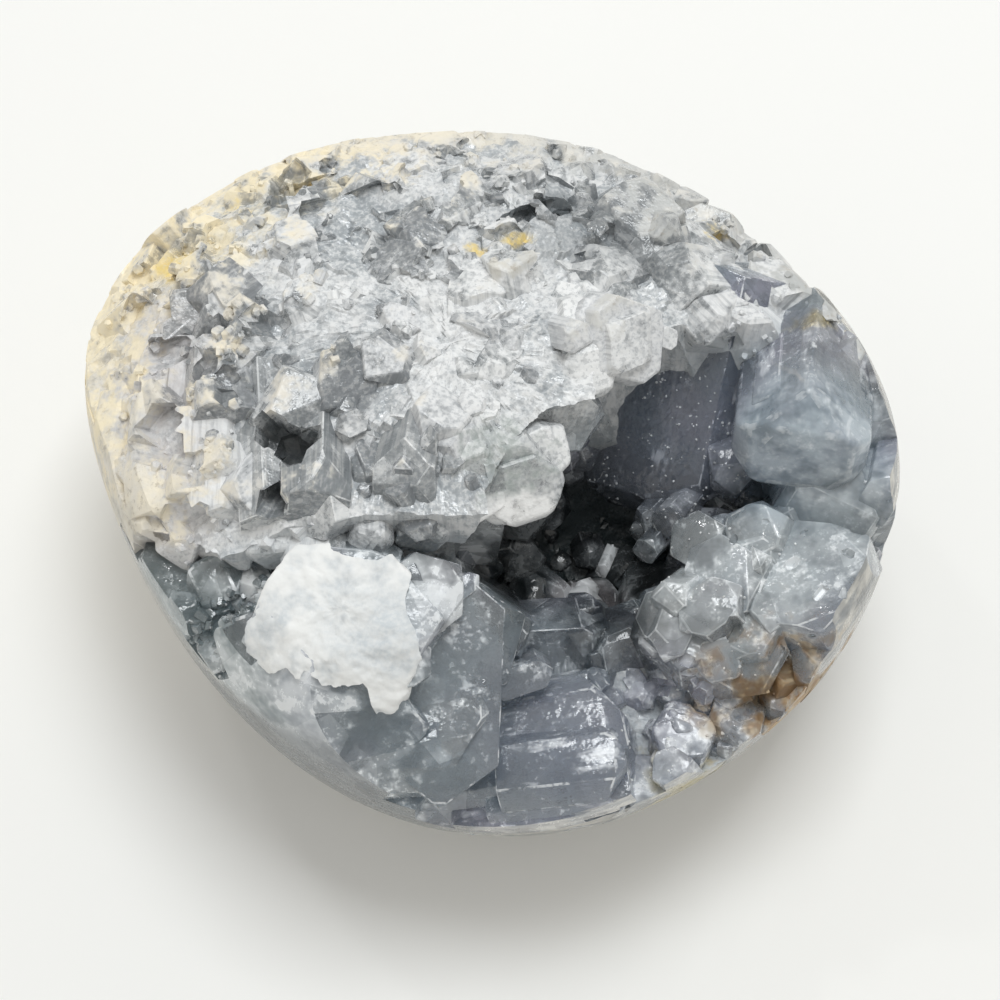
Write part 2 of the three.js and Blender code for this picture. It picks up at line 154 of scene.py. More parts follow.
# Smaller crystals that stand out in the hollow: the same columns, then frost and wear
CLEAR_CRYSTALS = [
    ((-13.6, -17.6, 44.6), 84, 14, 30, 10, 8, 12, 0.8, 0.3, 0.9),
    ((-8.4, -21.0, 43.4), 60, 22, 70, 9, 7, 12, 0.7, 0.2, 0.8),
    ((-26.2, -15.8, 37.6), 40, 30, 15, 5, 4, 7, 0.5, 0.9, 0.1),
    ((-25.0, -17.2, 38.2), 120, 24, 50, 4, 3, 7, 0.4, 0.9, 0.1),
    ((-27.4, -17.6, 36.6), 200, 30, 80, 4, 3, 6, 0.4, 0.85, 0.1),
    ((-26.6, -20.6, 36.6), 30, 18, 10, 4, 3.2, 6, 0.2, 0.9, 0.1),
    ((-28.4, -22.4, 35.4), 80, 22, 45, 4, 3, 6, 0.2, 0.9, 0.1),
    ((13.8, -12.0, 29.0), 250, 70, 60, 2.6, 1.5, 4, 0.95, 0.8, 0.06),
    ((11.4, -12.6, 22.5), 160, 20, 10, 4.5, 4, 7, 0.5, 0.8, 0.1),
    ((13.6, -13.6, 21.6), 60, 24, 40, 3.6, 3, 6, 0.5, 0.8, 0.1),
    ((12.4, -11.0, 21.4), 300, 14, 75, 3.4, 3, 6, 0.4, 0.75, 0.1),
    ((21.6, -6.6, 31.0), 238, 58, 20, 5, 3.5, 15, 0.7, 0.3, 0.12),
    ((19.0, -9.6, 29.4), 236, 60, 50, 4, 3, 13, 0.7, 0.4, 0.12),
    ((24.4, -10.4, 35.2), 200, 30, 15, 8, 6, 11, 0.8, 0.1, 0.12),
    ((20.0, -19.6, 34.6), 205, 24, 62, 7, 5, 10, 0.9, 0.05, 0.15),
    ((21.6, -22.8, 34.8), 215, 20, 62, 6, 4, 9, 0.9, 0.1, 0.15),
    ((25.6, -20.0, 37.6), 188, 22, 30, 9, 6, 12, 0.75, 0.1, 0.15),
    ((30.4, -22.2, 36.0), 170, 20, 55, 8, 6, 10, 0.7, 0.2, 0.15),
    ((27.0, -25.4, 34.4), 240, 26, 10, 7, 5, 9, 0.6, 0.15, 0.15),
    ((33.4, -19.6, 37.4), 120, 16, 75, 7, 6, 9, 0.6, 0.25, 0.15),
    ((31.0, -10.6, 37.6), 200, 26, 20, 9, 7, 10, 0.6, 0.15, 0.8),
    ((-18.5, -36.4, 39.0), 279, 47, 4, 25, 18, 17, 0.95, 0.2, 0.9),
    ((-26.0, -28.6, 41.4), 226, 50, -40, 14, 13, 14, 0.9, 0.25, 1.0),
    ((-4.6, -30.0, 38.2), 275, 24, 88, 28, 13, 15, 0.95, 0.05, 0.4),
    ((-9.4, -26.0, 46.2), 312, 16, 15, 9, 8, 13, 0.6, 0.55, 1.2),
    ((-8.6, -29.6, 43.8), 300, 26, 35, 7, 6, 11, 0.6, 0.4, 1.0),
    ((-41.4, -12.6, 33.4), 225, 34, 15, 11, 10, 14, 0.8, 0.2, 0.2),
    ((-37.4, -15.6, 35.4), 230, 26, 55, 10, 9, 13, 0.7, 0.25, 0.3),
    ((-38.4, -19.4, 31.4), 225, 38, 30, 10, 9, 13, 0.8, 0.2, 0.2),
    ((-33.4, -18.6, 35.8), 240, 24, 80, 9, 8, 12, 0.6, 0.3, 0.3),
    ((-35.2, -23.4, 31.6), 226, 34, 5, 9, 8, 12, 0.8, 0.3, 0.2),
    ((-30.6, -23.4, 35.2), 215, 22, 65, 8, 7, 11, 0.6, 0.4, 0.4),
    ((-31.6, -17.0, 38.0), 250, 20, 25, 8, 6, 10, 0.5, 0.4, 0.2),
]
# Rough pale crystals along the rim beside the hollow: the same columns
RIM_CRYSTALS = [
    ((32.5, 16.5, 44.6), 60, 16, 20, 11, 9, 13, 0.8), ((38.6, 17.0, 43.0), 70, 18, 50, 10, 9, 13, 0.8),
    ((42.4, 13.6, 40.6), 40, 22, 10, 9, 8, 12, 0.7), ((28, 18.5, 44.6), 90, 18, 70, 10, 8, 12, 0.8),
    ((35.5, 21.0, 42.4), 70, 20, 35, 10, 9, 12, 0.8), ((22, 24, 43.6), 80, 18, 15, 10, 8, 11, 0.8),
    ((27, 26, 41.4), 80, 24, 60, 10, 8, 11, 0.8), ((17, 29, 43), 90, 20, 40, 9, 8, 11, 0.8),
    ((28.5, 14.0, 43.0), 200, 22, 44, 7, 6, 10, 0.6), ((12, 31.5, 42), 90, 20, 20, 8, 7, 11, 0.8),
    ((-36.0, -13.6, 38.6), 245, 70, 55, 9, 6, 11, 0.8),
    ((-30.5, -15.4, 40.2), 258, 74, 10, 9, 6, 12, 0.8), ((-25.0, -16.2, 41.4), 262, 76, 40, 8, 6, 12, 0.7),
    ((-19.5, -17.0, 42.6), 266, 74, 15, 9, 5, 12, 0.8), ((-13.5, -16.4, 43.2), 272, 76, 65, 9, 5, 12, 0.8),
    ((-7.0, -14.4, 43.4), 276, 74, 30, 8, 5, 11, 0.7),
]
# Rounded lumps on the ledge's tips: the same columns, then wear
TIP_LUMPS = [
    ((4.6, -9.6, 45.8), 290, 52, 20, 11, 9, 14, 0.7, 0.8),
    ((-1.6, -9.6, 47.0), 266, 44, 85, 10, 8, 13, 0.8, 0.7),
    ((6.4, -5.4, 47.2), 300, 40, 50, 9, 7, 12, 0.6, 0.6),
    ((2.4, -5.2, 49.0), 290, 24, 50, 8, 7, 10, 0.4, 0.8),
    ((17.0, 7.4, 50.5), 312, 44, -26, 7.5, 9.7, 10, 0.7, 0.12),
    ((12.4, 4.4, 49.2), 300, 40, 20, 8, 7, 12, 0.5, 0.5),
    ((14.0, 10.6, 50.4), 330, 24, 70, 8, 7, 11, 0.6, 0.4),
]
# Holes in the ledge: place, the direction that they go down in, their spread, how many bodies are taken out
DENTS = [((-23.2, -4.4, 44.0), (0.25, 0.6, -1), 1.7, 6), ((8.3, 28.6, 43.2), (0.0, 0.2, -1), 1.3, 4)]
# How far the white crust hangs down from the frosted block's end face: place, reach, drop
CRUST_DROPS = [
    ((-26, -29), (4, 4), 2.5), ((-27, -23), (3.5, 4), 1.5), ((-10.4, -31.5), (2.8, 6), 8.5),
    ((-4, -23), (5.5, 8), -7.0), ((-13, -16.5), (9, 3.0), -3.5),
]
# Places on the ledge, their reach, and how much whiter or darker the ledge is there
LEDGE_PATCHES = [
    ((-5, 6), (6, 13), 0.75), ((-28, 22), (6, 6), 0.2), ((-22, 13), (10, 7), 0.05), ((6, 16), (10, 8), 0.25),
    ((-2, -3), (8, 6), 0.4), ((-18, 2), (10, 4), -0.9), ((-31, 5), (8, 5), -0.6), ((-13, 23), (9, 7), -0.6),
    ((-10, -8), (12, 5), -0.3), ((-45, 12), (9, 20), 0.3), ((12, 25), (12, 10), -0.5),
    ((-24, -5), (5, 4), -1.2), ((-20, 30), (8, 5), -0.3), ((26, 20), (12, 8), 0.1), ((36, 16), (9, 8), 0.5),
    ((-38, -6), (10, 10), 0.35), ((-24, -13), (14, 4), 0.4),
]


class Dice:
    """Seeded random numbers, the same as the solids'."""

    def __init__(self, seed):
        self.state = seed

    def __call__(self):
        mask = 0xFFFFFFFF
        self.state = (self.state + 0x6D2B79F5) & mask
        s = self.state
        mixed = ((s ^ (s >> 15)) * (1 | s)) & mask
        mixed = (((mixed + (((mixed ^ (mixed >> 7)) * (61 | mixed)) & mask)) & mask) ^ mixed) & mask
        return (mixed ^ (mixed >> 14)) / 4294967296

    def between(self, low, high):
        return low + (high - low) * self()


def waist_radius(turn):
    turn = np.asarray(turn, float)
    total = np.zeros_like(turn)
    for degrees, reach in GROUND_FLATS:
        facing = np.maximum(np.cos(turn - math.radians(degrees)), 0)
        total += (facing / (reach * LENGTH * 0.5)) ** FLAT_CRISPNESS
    return total ** (-1 / FLAT_CRISPNESS)


def stone_depth(points):
    """Below 1 inside the unbroken stone, above 1 outside."""
    p = np.atleast_2d(np.asarray(points, float))
    out = np.hypot(p[:, 0], p[:, 1]) / (waist_radius(np.arctan2(p[:, 1], p[:, 0])) - WEAR)
    rise = np.where(p[:, 2] > WAIST_HEIGHT, CROWN_RISE, KEEL_DEPTH)
    return out**ROUNDING + np.abs((p[:, 2] - WAIST_HEIGHT) / rise) ** ROUNDING


def depth_at(point):
    return float(stone_depth([tuple(point)])[0])


def inside_bowl(bowl, point, reach=0.98):
    centre, radii = bowl[0], bowl[1]
    return math.hypot(*((point[i] - centre[i]) / radii[i] for i in range(3))) < reach


def hollowed(point, reach=1.03):
    return any(inside_bowl(bowl, point, reach) for bowl in BOWLS)


def axis_towards(turn, lean):
    t, a = math.radians(turn), math.radians(lean)
    return Vector((math.sin(a) * math.cos(t), math.sin(a) * math.sin(t), math.cos(a)))


def turned(axis, roll):
    """The turn that takes a crystal's own +Z to axis, after a roll about it."""
    return UP.rotation_difference(axis) @ Quaternion(UP, math.radians(roll))


def face_normal(h, k, l):
    return Vector((k / CELL["b"], l / CELL["c"], h / CELL["a"])).normalized()


def crystal_planes(width, thickness, length, flat):
    """Half-spaces of one celestine crystal, its head at the origin and its root below."""
    ridge = flat * (CELL["a"] / CELL["b"]) * width / 4
    planes = []

    def face(h, k, l, through):
        normal = face_normal(h, k, l)
        planes.append((normal, normal.dot(Vector(through))))

    face(1, 0, 0, (0, 0, 0))
    for side in (-1, 1):
        face(0, 0, side, (0, side * thickness / 2, 0))
        face(2, side, 0, (0, 0, ridge))
        face(1, 0, side, (0, side * thickness * 0.2, ridge))
        for edge in (-1, 1):
            face(0, edge, side, (edge * width / 2, 0, 0))
    planes.append((Vector((0, 0, -1)), length))
    return planes


TRIPLES = {}


def corners_of(normals, distances):
    """Corners of the convex body that half-spaces close, or None."""
    n = len(normals)
    if n not in TRIPLES:
        TRIPLES[n] = np.array(list(itertools.combinations(range(n), 3)))
    t = TRIPLES[n]
    p, q, r = normals[t[:, 0]], normals[t[:, 1]], normals[t[:, 2]]
    qr, rp, pq = np.cross(q, r), np.cross(r, p), np.cross(p, q)
    volume = (p * qr).sum(1)
    ok = np.abs(volume) > 1e-5
    t, qr, rp, pq, volume = t[ok], qr[ok], rp[ok], pq[ok], volume[ok]
    d = distances[t]
    corners = (qr * d[:, :1] + rp * d[:, 1:2] + pq * d[:, 2:]) / volume[:, None]
    corners = corners[(corners @ normals.T <= distances + 1e-6).all(1)]
    return merged(corners, 2e-3) if len(corners) > 3 else None


def merged(points, gap):
    """The points without those within gap of an earlier one."""
    keep = []
    for x, y, z in points.tolist():
        if all(abs(x - a) > gap or abs(y - b) > gap or abs(z - c) > gap for a, b, c in keep):
            keep.append((x, y, z))
    return np.array(keep)


class Crystal:
    """One placed crystal. frost is how white and rough it is, tint its own shade, both from 0 to 1."""

    def __init__(
        self, head, axis, roll, size, flat, dice, frost=0.3, chips=0, chip_depth=0.0, wear=0.12, large=0
    ):
        width, thickness, length = size
        spin = turned(axis, roll)
        planes = crystal_planes(width, thickness, length, flat)
        self.axis, self.frost, self.tint, self.wear, self.large = axis, frost, dice(), wear, large
        self.normals = np.array([tuple(spin @ n) for n, _ in planes])
        self.distances = np.array([d for _, d in planes]) + self.normals @ np.array(head, float)
        self.whole = len(planes)
        self.corners = corners_of(self.normals, self.distances)
        if self.corners is not None and chips:
            self.cut(self.chipped(dice, chips, chip_depth))

    def cut(self, planes):
        planes = list(planes)
        self.normals = np.vstack([self.normals] + [n for n, _ in planes])
        self.distances = np.append(self.distances, [d for _, d in planes])
        self.corners = corners_of(self.normals, self.distances)

    def chipped(self, dice, count, depth):
        """Random planes that break corners off, each no deeper than depth."""
        middle = self.corners.mean(0)
        for _ in range(count):
            normal = self.corners[int(dice() * len(self.corners))] - middle
            normal = normal / np.linalg.norm(normal)
            normal = normal + np.array([dice.between(-1, 1) for _ in range(3)]) * 0.7
            normal /= np.linalg.norm(normal)
            yield normal, float((self.corners @ normal).max()) - dice.between(0.2, 1) * depth

    def part(self):
        """Corners, triangles and values of each triangle, with the edges worn round."""
        if self.corners is None or len(self.corners) < 4:
            return None
        size = np.ptp(self.corners, axis=0).max()
        if size < 0.3 or float(stone_depth([self.corners.mean(0)])[0]) > 1.1:
            return None
        wear = min(self.wear, size * 0.04) if self.wear < 0.4 else self.wear
        bm = hull(merged(self.corners, max(wear * 0.8, 0.03)))
        if wear:
            bmesh.ops.dissolve_limit(bm, angle_limit=math.radians(1), verts=bm.verts, edges=bm.edges)
            bmesh.ops.bevel(
                bm, geom=list(bm.edges), offset=wear, segments=3 if wear > 0.5 else 1, profile=0.5,
                affect="EDGES", clamp_overlap=True,
            )
            points = merged(np.array([tuple(v.co) for v in bm.verts]), 0.01)
            bm.free()
            bm = hull(points)
        bm.verts.index_update()
        corners = np.array([tuple(v.co) for v in bm.verts])
        triangles = np.array([[v.index for v in f.verts] for f in bm.faces])
        facing = np.array([tuple(f.normal) for f in bm.faces])
        bm.free()
        likeness = facing @ self.normals.T
        edge = likeness.max(1) < 0.998
        face = likeness.argmax(1)
        own = Dice(int(self.tint * 1e6))
        sectors = np.array([own() for _ in self.normals])
        broken = np.arange(len(self.normals)) >= self.whole
        fresh = np.where(broken, 0.1 + (0.3 if self.large else 0.55) * sectors, 0)
        frost = np.where(edge, self.frost, np.maximum(self.frost, fresh[face]))
        n = len(triangles)
        values = np.column_stack([edge, np.full(n, self.tint), frost, sectors[face], np.full(n, self.large)])
        return corners, triangles, values, np.tile(np.array(self.axis), (n, 1))


def from_row(row, dice, *finish):
    """A crystal from a table's row."""
    place, turn, lean, roll, width, thickness, length, flat = row
    size = (width, thickness, length)
    return Crystal(Vector(place), axis_towards(turn, lean), roll, size, flat, dice, *finish)


def hull(points):
    """A closed bmesh of the convex hull."""
    bm = bmesh.new()
    for point in points:
        bm.verts.new(point)
    bmesh.ops.convex_hull(bm, input=bm.verts, use_existing_faces=False)
    loose = [v for v in bm.verts if not v.link_faces]
    if loose:
        bmesh.ops.delete(bm, geom=loose, context="VERTS")
    return bm


def plain_part(corners, triangles, frost=0.5, tint=0.5):
    n = len(triangles)
    values = np.tile((0, tint, frost, 0.5, 0), (n, 1))
    return corners, triangles, values, np.tile((0.0, 0.0, 1.0), (n, 1))


def body(*parts):
    """One object of (corners, triangles, values, axes) parts, still in millimetres."""
    base, triangles = 0, []
    for part in parts:
        triangles.append(part[1] + base)
        base += len(part[0])
    corners, triangles = np.vstack([p[0] for p in parts]), np.vstack(triangles)
    values, axes = np.vstack([p[2] for p in parts]), np.vstack([p[3] for p in parts])
    mesh = bpy.data.meshes.new("body")
    mesh.vertices.add(len(corners))
    mesh.vertices.foreach_set("co", corners.astype(np.float32).ravel())
    mesh.loops.add(triangles.size)
    mesh.loops.foreach_set("vertex_index", triangles.astype(np.int32).ravel())
    mesh.polygons.add(len(triangles))
    mesh.polygons.foreach_set("loop_start", np.arange(0, triangles.size, 3, dtype=np.int32))
    for column, name in enumerate(("edge", "tint", "frost", "sector", "large")):
        values_of(mesh, name, "FACE", values[:, column])
    axis = mesh.attributes.new("axis", "FLOAT_VECTOR", "FACE")
    axis.data.foreach_set("vector", axes.astype(np.float32).ravel())
    mesh.update(calc_edges=True)
    return placed(mesh)


def values_of(mesh, name, domain, values):
    attribute = mesh.attributes.new(name, "FLOAT", domain)
    attribute.data.foreach_set("value", np.asarray(values, np.float32))


def placed(data, name="body"):
    ob = bpy.data.objects.new(name, data)
    bpy.context.scene.collection.objects.link(ob)
    return ob


def boolean(ob, other, operation):
    """ob's mesh after a boolean with the other object, which is then removed."""
    modifier = ob.modifiers.new("boolean", "BOOLEAN")
    modifier.operation, modifier.solver, modifier.object = operation, "MANIFOLD", other
    result = bpy.data.meshes.new_from_object(ob.evaluated_get(bpy.context.evaluated_depsgraph_get()))
    ob.modifiers.clear()
    old, ob.data = ob.data, result
    bpy.data.meshes.remove(old)
    gone = other.data
    bpy.data.objects.remove(other)
    bpy.data.meshes.remove(gone)


def joined(parts):
    """The union of many closed bodies. Those that don't touch go into one operation together."""
    parts = [part for part in parts if part is not None]
    boxes = [(p[0].min(0) - 0.05, p[0].max(0) + 0.05) for p in parts]
    batches = []
    for i, (low, high) in enumerate(boxes):
        for batch in batches:
            if not any((low < boxes[j][1]).all() and (high > boxes[j][0]).all() for j in batch):
                batch.append(i)
                break
        else:
            batches.append([i])
    whole = body(*(parts[i] for i in batches[0]))
    for batch in batches[1:]:
        boolean(whole, body(*(parts[i] for i in batch)), "UNION")
    return whole


def spiral_over(blob, spread=None):
    """Places all over an ellipsoid on a golden-angle spiral, with the direction outwards at each."""
    centre, radii = blob[0], blob[1]
    mean = (radii[0] * radii[1] * radii[2]) ** (1 / 3)
    count = round(4 * math.pi * mean**2 / (spread or blob[2]) ** 2)
    for i in range(count):
        height = 1 - 2 * (i + 0.5) / count
        ring = math.sqrt(1 - height * height)
        out = (ring * math.cos(i * GOLDEN_ANGLE), ring * math.sin(i * GOLDEN_ANGLE), height)
        foot = Vector([c + r * o for c, r, o in zip(centre, radii, out)])
        yield foot, Vector([o / r for o, r in zip(out, radii)]).normalized()


def random_vector(dice):
    return Vector((dice.between(-1, 1), dice.between(-1, 1), dice.between(-1, 1)))


def drift(point):
    """A direction that changes slowly over the stone, so that neighbours grow nearly parallel."""
    x, y, z = point
    return Vector((math.sin(y / 7 + 1), math.sin(x / 9 + z / 6), math.sin(x / 8 + 2)))


def near_large(point, share=0.5, reach=0.7, crystals=HOLLOW_CRYSTALS):
    for head, turn, lean, _, width, _, length, _ in crystals.values():
        tip = Vector(head)
        along = axis_towards(turn, lean) * -reach * length
        t = min(max((point - tip).dot(along) / along.length_squared, 0), 1)
        if (tip + along * t - point).length < width * share:
            return True
    return False


def small_crystal(foot, axis, width, rise, buried, dice, roll=None, frost=0.3, chips=1, wear=0.12):
    thickness = width * dice.between(0.6, 0.95)
    flat = dice.between(0.1, 0.9)
    own_roll = dice.between(0, 180)
    spare = Dice(int(1000 * (width + rise)) + int(10 * own_roll))
    size = (width, thickness, buried + rise)
    head = foot + axis * rise
    roll = own_roll if roll is None else roll
    return Crystal(head, axis, roll, size, flat, spare, frost, chips, width * 0.12, wear)


def lining(bowl, dice):
    """The same crystals on a bowl's wall as the solids have."""
    others = [other for other in BOWLS if other is not bowl]
    for foot, outwards in spiral_over(bowl):
        depth = depth_at(foot)
        if depth > 1.02 or foot.z < 0 or any(inside_bowl(other, foot) for other in others):
            continue
        if foot.z > bowl[4] or near_large(foot):
            continue
        at_rim = depth > 0.85
        inwards = -outwards + UP if at_rim else -outwards
        axis = (inwards + random_vector(dice) * 0.4).normalized()
        width = bowl[3] * dice.between(0.7, 1.3) * (1.3 if at_rim else 1)
        rise = width * (0.6 if at_rim else dice.between(0.3, 0.8))
        yield small_crystal(foot, axis, width, rise, 3, dice, chips=3, frost=0.35)


def ledge_top(dice):
    """The same crystals on the ledge's dome as the solids have."""
    for foot, outwards in spiral_over(DOME):
        depth = depth_at(foot)
        if foot.z < WAIST_HEIGHT or depth > 1.02 or hollowed(foot, 1.06) or inside_bowl(WEST_GAP, foot, 1.0):
            continue
        axis = (outwards + drift(foot) * 0.8 + random_vector(dice) * 0.2).normalized()
        width = DOME[3] * dice.between(0.7, 1.3)
        rise = dice.between(0.2, 0.6 if depth > 0.82 else 3.2)
        yield small_crystal(foot, axis, width, rise, 5, dice, frost=ledge_frost(foot), chips=4)


def druse(blob, spread, size, dice, keep, look, lift=(0.2, 0.7), swing=0.55, parallel=0.0, wear=0.12):
    """Small crystals between the large ones. look gives the frost at a place."""
    for foot, outwards in spiral_over(blob, spread):
        foot = foot + random_vector(dice) * spread * 0.3
        if not keep(foot):
            continue
        inwards = outwards if blob is DOME else -outwards
        upwards = UP * (0.8 if depth_at(foot) > 0.85 else 0)
        axis = (inwards + upwards + drift(foot) * parallel + random_vector(dice) * swing).normalized()
        width = size * math.exp(dice.between(-0.55, 0.55))
        rise = width * dice.between(*lift)
        roll = 90 + 70 * math.sin(foot.x / 11 + foot.y / 13) + dice.between(-12, 12) if parallel else None
        yield small_crystal(foot, axis, width, rise, 1.5, dice, roll, look(foot), chips=1, wear=wear)


def with_companions(name, crystal, dice, count, within=None):
    """A large crystal and smaller parallel ones that grow from its sides, which give its faces steps."""
    head, turn, lean, roll, width, thickness, length, _ = crystal
    axis = axis_towards(turn, lean)
    spin = turned(axis, roll)
    frost, wear = FROST.get(name, 0.2), WORN.get(name, 0.12)
    yield from_row(crystal, dice, frost, 4, 1.0, wear, 1)
    for _ in range(count):
        side = dice.between(-0.5, 0.5) * width
        front = dice.between(-0.5, 0.5) * thickness
        drop = -dice.between(-0.02, 0.45) * length * (0.3 + abs(side) / width + abs(front) / thickness)
        size = (width * dice.between(0.18, 0.55), thickness * dice.between(0.2, 0.6), length * 0.5)
        place = Vector(head) + spin @ Vector((side * 0.85, front * 0.85, drop))
        own = (axis + random_vector(dice) * 0.03).normalized()
        own_roll, own_flat = roll + dice.between(-1.5, 1.5), dice.between(0.2, 0.9)
        if within is None or within(place):
            yield Crystal(place, own, own_roll, size, own_flat, dice, frost, 2, 0.6, min(wear, 0.2), 1)


def grid_ball(shape, around, levels):
    """A closed mesh over a sphere's angles. shape(unit vectors) gives the corners."""
    turns = np.linspace(0, 2 * math.pi, around, endpoint=False)
    polar = np.linspace(0, math.pi, levels + 1)[1:-1]
    rings = [
        (math.sin(v) * math.cos(u), math.sin(v) * math.sin(u), math.cos(v)) for v in polar for u in turns
    ]
    units = np.array([(0, 0, 1), *rings, (0, 0, -1)])
    triangles = []
    last = len(units) - 1
    index = lambda row, col: 1 + row * around + col % around
    for col in range(around):
        triangles.append((0, index(0, col), index(0, col + 1)))
        triangles.append((last, index(levels - 2, col + 1), index(levels - 2, col)))
        for row in range(levels - 2):
            a, b = index(row, col), index(row, col + 1)
            c, d = index(row + 1, col + 1), index(row + 1, col)
            triangles += [(a, d, c), (a, c, b)]
    return shape(units), np.array(triangles)


def fractal(point, size, octaves=3):
    return sum(noise.noise(point * (2**k / size)) / 2**k for k in range(octaves))


def stone_shape(units, smooth=False):
    """The unbroken stone, ground smooth but for shallow waves and pits."""
    squared = lambda value: np.sign(value) * np.abs(value) ** (2 / ROUNDING)
    turn = np.arctan2(units[:, 1], units[:, 0])
    out = (waist_radius(turn) - WEAR) * squared(np.hypot(units[:, 0], units[:, 1]))
    rise = np.where(units[:, 2] > 0, CROWN_RISE, KEEL_DEPTH)
    height = WAIST_HEIGHT + rise * squared(units[:, 2])
    corners = np.column_stack([out * np.cos(turn), out * np.sin(turn), height])
    if smooth:
        return corners
    worn = [0.10 * max(fractal(Vector(c), 9), -0.5) + pit_depth(Vector(c)) for c in corners]
    return corners - units * (np.array(worn) + 0.08)[:, None]


def ground_flush(ob):
    """Cuts a mesh off at the ground outside."""
    trim = plain_part(*grid_ball(lambda units: stone_shape(units, True), *TRIM_GRID))
    trim[0][:, 2] = np.minimum(trim[0][:, 2], TALLEST)
    boolean(ob, body(trim), "INTERSECT")


def pit_depth(point):
    """Small pits where softer grains have fallen out, in some places only."""
    distances, cells = noise.voronoi(point / 4.5)
    here = noise.noise(cells[0] * 3.1) + noise.noise(point / 16)
    return 0.45 * max(0, 1 - distances[0] / 0.32) if here > 0.25 else 0


def hackly(point, size):
    """Height of a broken surface: cells of tilted facets."""
    where = point / size
    _, cells = noise.voronoi(where)
    cell = cells[0]
    return (where - cell).dot(noise.noise_vector(cell * 5.31)) + 0.5 * noise.noise(cell * 3.7)


def broken_ellipsoid(blob, grid, relief, size=3.2, lift=None, frost=None):
    """An ellipsoid whose surface is broken into facets, for cutting the stone with."""
    centre, radii = np.array(blob[0], float), np.array(blob[1], float)

    def shape(units):
        corners = centre + units * radii
        outwards = units / radii
        outwards /= np.linalg.norm(outwards, axis=1)[:, None]
        depth = stone_depth(corners)
        heights = np.zeros(len(corners))
        for i in np.where(depth < 1.15)[0]:
            c = Vector(corners[i])
            heights[i] = relief * (hackly(c, size) + 0.45 * hackly(c + Vector((9, 4, 2)), size * 0.4))
            heights[i] += lift(c, depth[i]) if lift else 0
        return corners + outwards * heights[:, None]

    part = plain_part(*grid_ball(shape, *grid))
    if frost:
        middles = part[0][part[1]].mean(1)
        for i in np.where((middles[:, 2] > WAIST_HEIGHT - 3) & (stone_depth(middles) < 1.05))[0]:
            part[2][i, 2] = frost(middles[i])
    return part


def patches_at(patches, x, y):
    """How far a place is from each patch's middle, in shares of its reach, and the patch's amount."""
    for (middle_x, middle_y), (across, along), amount in patches:
        yield math.hypot((x - middle_x) / across, (y - middle_y) / along), amount


def dome_lift(point, depth):
    """How far the ledge's massive ground stands above the dome, more at the rim and less in its dips."""
    if point.z < WAIST_HEIGHT - 2:
        return 0
    lift = 1.4 + 0.9 * fractal(point / 9, 1, 2) + 0.5 * fractal(point / 1.8, 1, 3)
    lift += 0.8 * min(max((depth - 0.75) / 0.15, 0), 1)
    for away, amount in patches_at(LEDGE_PATCHES, point.x, point.y):
        if amount < 0:
            lift += 1.2 * amount * max(0, 1 - away * away)
    return lift


def block(low, high):
    """A cuboid between two corners."""
    bm = bmesh.new()
    bmesh.ops.create_cube(bm, size=1)
    bmesh.ops.scale(bm, vec=Vector(high) - Vector(low), verts=bm.verts)
    bmesh.ops.translate(bm, vec=(Vector(high) + Vector(low)) / 2, verts=bm.verts)
    mesh = bpy.data.meshes.new("block")
    bm.to_mesh(mesh)
    bm.free()
    return placed(mesh)


def stone_wall():
    """The stone with its dome and bowls broken out of it."""
    stone = body(plain_part(*grid_ball(stone_shape, *WALL_GRID)))
    boolean(stone, block((-100, -100, 0), (100, 100, 100)), "INTERSECT")
    above = block((-100, -100, WAIST_HEIGHT), (100, 100, 100))
    boolean(above, body(broken_ellipsoid(DOME, DOME_GRID, 1.0, 4.2, dome_lift, ledge_frost)), "DIFFERENCE")
    boolean(stone, above, "DIFFERENCE")
    for bowl in (*BOWLS, WEST_GAP):
        boolean(stone, body(broken_ellipsoid(bowl, BOWL_GRID, 0.6)), "DIFFERENCE")
    boolean(stone, joined(dents()), "DIFFERENCE")
    return stone


def dents():
    """Bodies that leave ragged holes in the ledge."""
    dice = Dice(55)
    for place, down, spread, count in DENTS:
        for _ in range(count):
            where = Vector(place) + random_vector(dice) * spread
            along = (Vector(down).normalized() + random_vector(dice) * 0.6).normalized()
            size = (dice.between(3, 5), dice.between(2.4, 4), 10)
            yield Crystal(where, along, dice.between(0, 180), size, 0.4, dice, 0.1, 3, 0.8, 0).part()


def crust_drop(x, y):
    """How far below the frosted block's end face its crust reaches down."""
    drop = 1.4 + 1.3 * fractal(Vector((x, y, 3)) / 4.5, 1, 4)
    for away, amount in patches_at(CRUST_DROPS, x, y):
        drop += amount * min(max(1.6 - 1.6 * away, 0), 1)
    return drop


def body_above(low, high, xs, ys):
    """A closed body between the height low(x, y) and a flat top."""
    under = [(x, y, low(x, y)) for y in ys for x in xs]
    over = [(x, y, high) for y in ys for x in xs]
    across, along = len(xs), len(ys)
    count = across * along
    triangles = []
    for j in range(along - 1):
        for i in range(across - 1):
            a, b = j * across + i, j * across + i + 1
            c, d = b + across, a + across
            triangles += [(a, c, b), (a, d, c)]
            triangles += [(count + a, count + b, count + c), (count + a, count + c, count + d)]
    ring = list(range(across)) + [j * across + across - 1 for j in range(1, along)]
    ring += [(along - 1) * across + i for i in range(across - 2, -1, -1)]
    ring += [j * across for j in range(along - 2, 0, -1)]
    for a, b in zip(ring, ring[1:] + ring[:1]):
        triangles += [(a, b, count + b), (a, count + b, count + a)]
    return plain_part(np.array(under + over), np.array(triangles), 1.0, 0.7)


def front_face():
    """The plane of the large face that slopes down from the frosted block's end."""
    normal = axis_towards(279, 47)
    return np.array(normal), normal.dot(Vector((-24.6, -32.1, 44.6)))


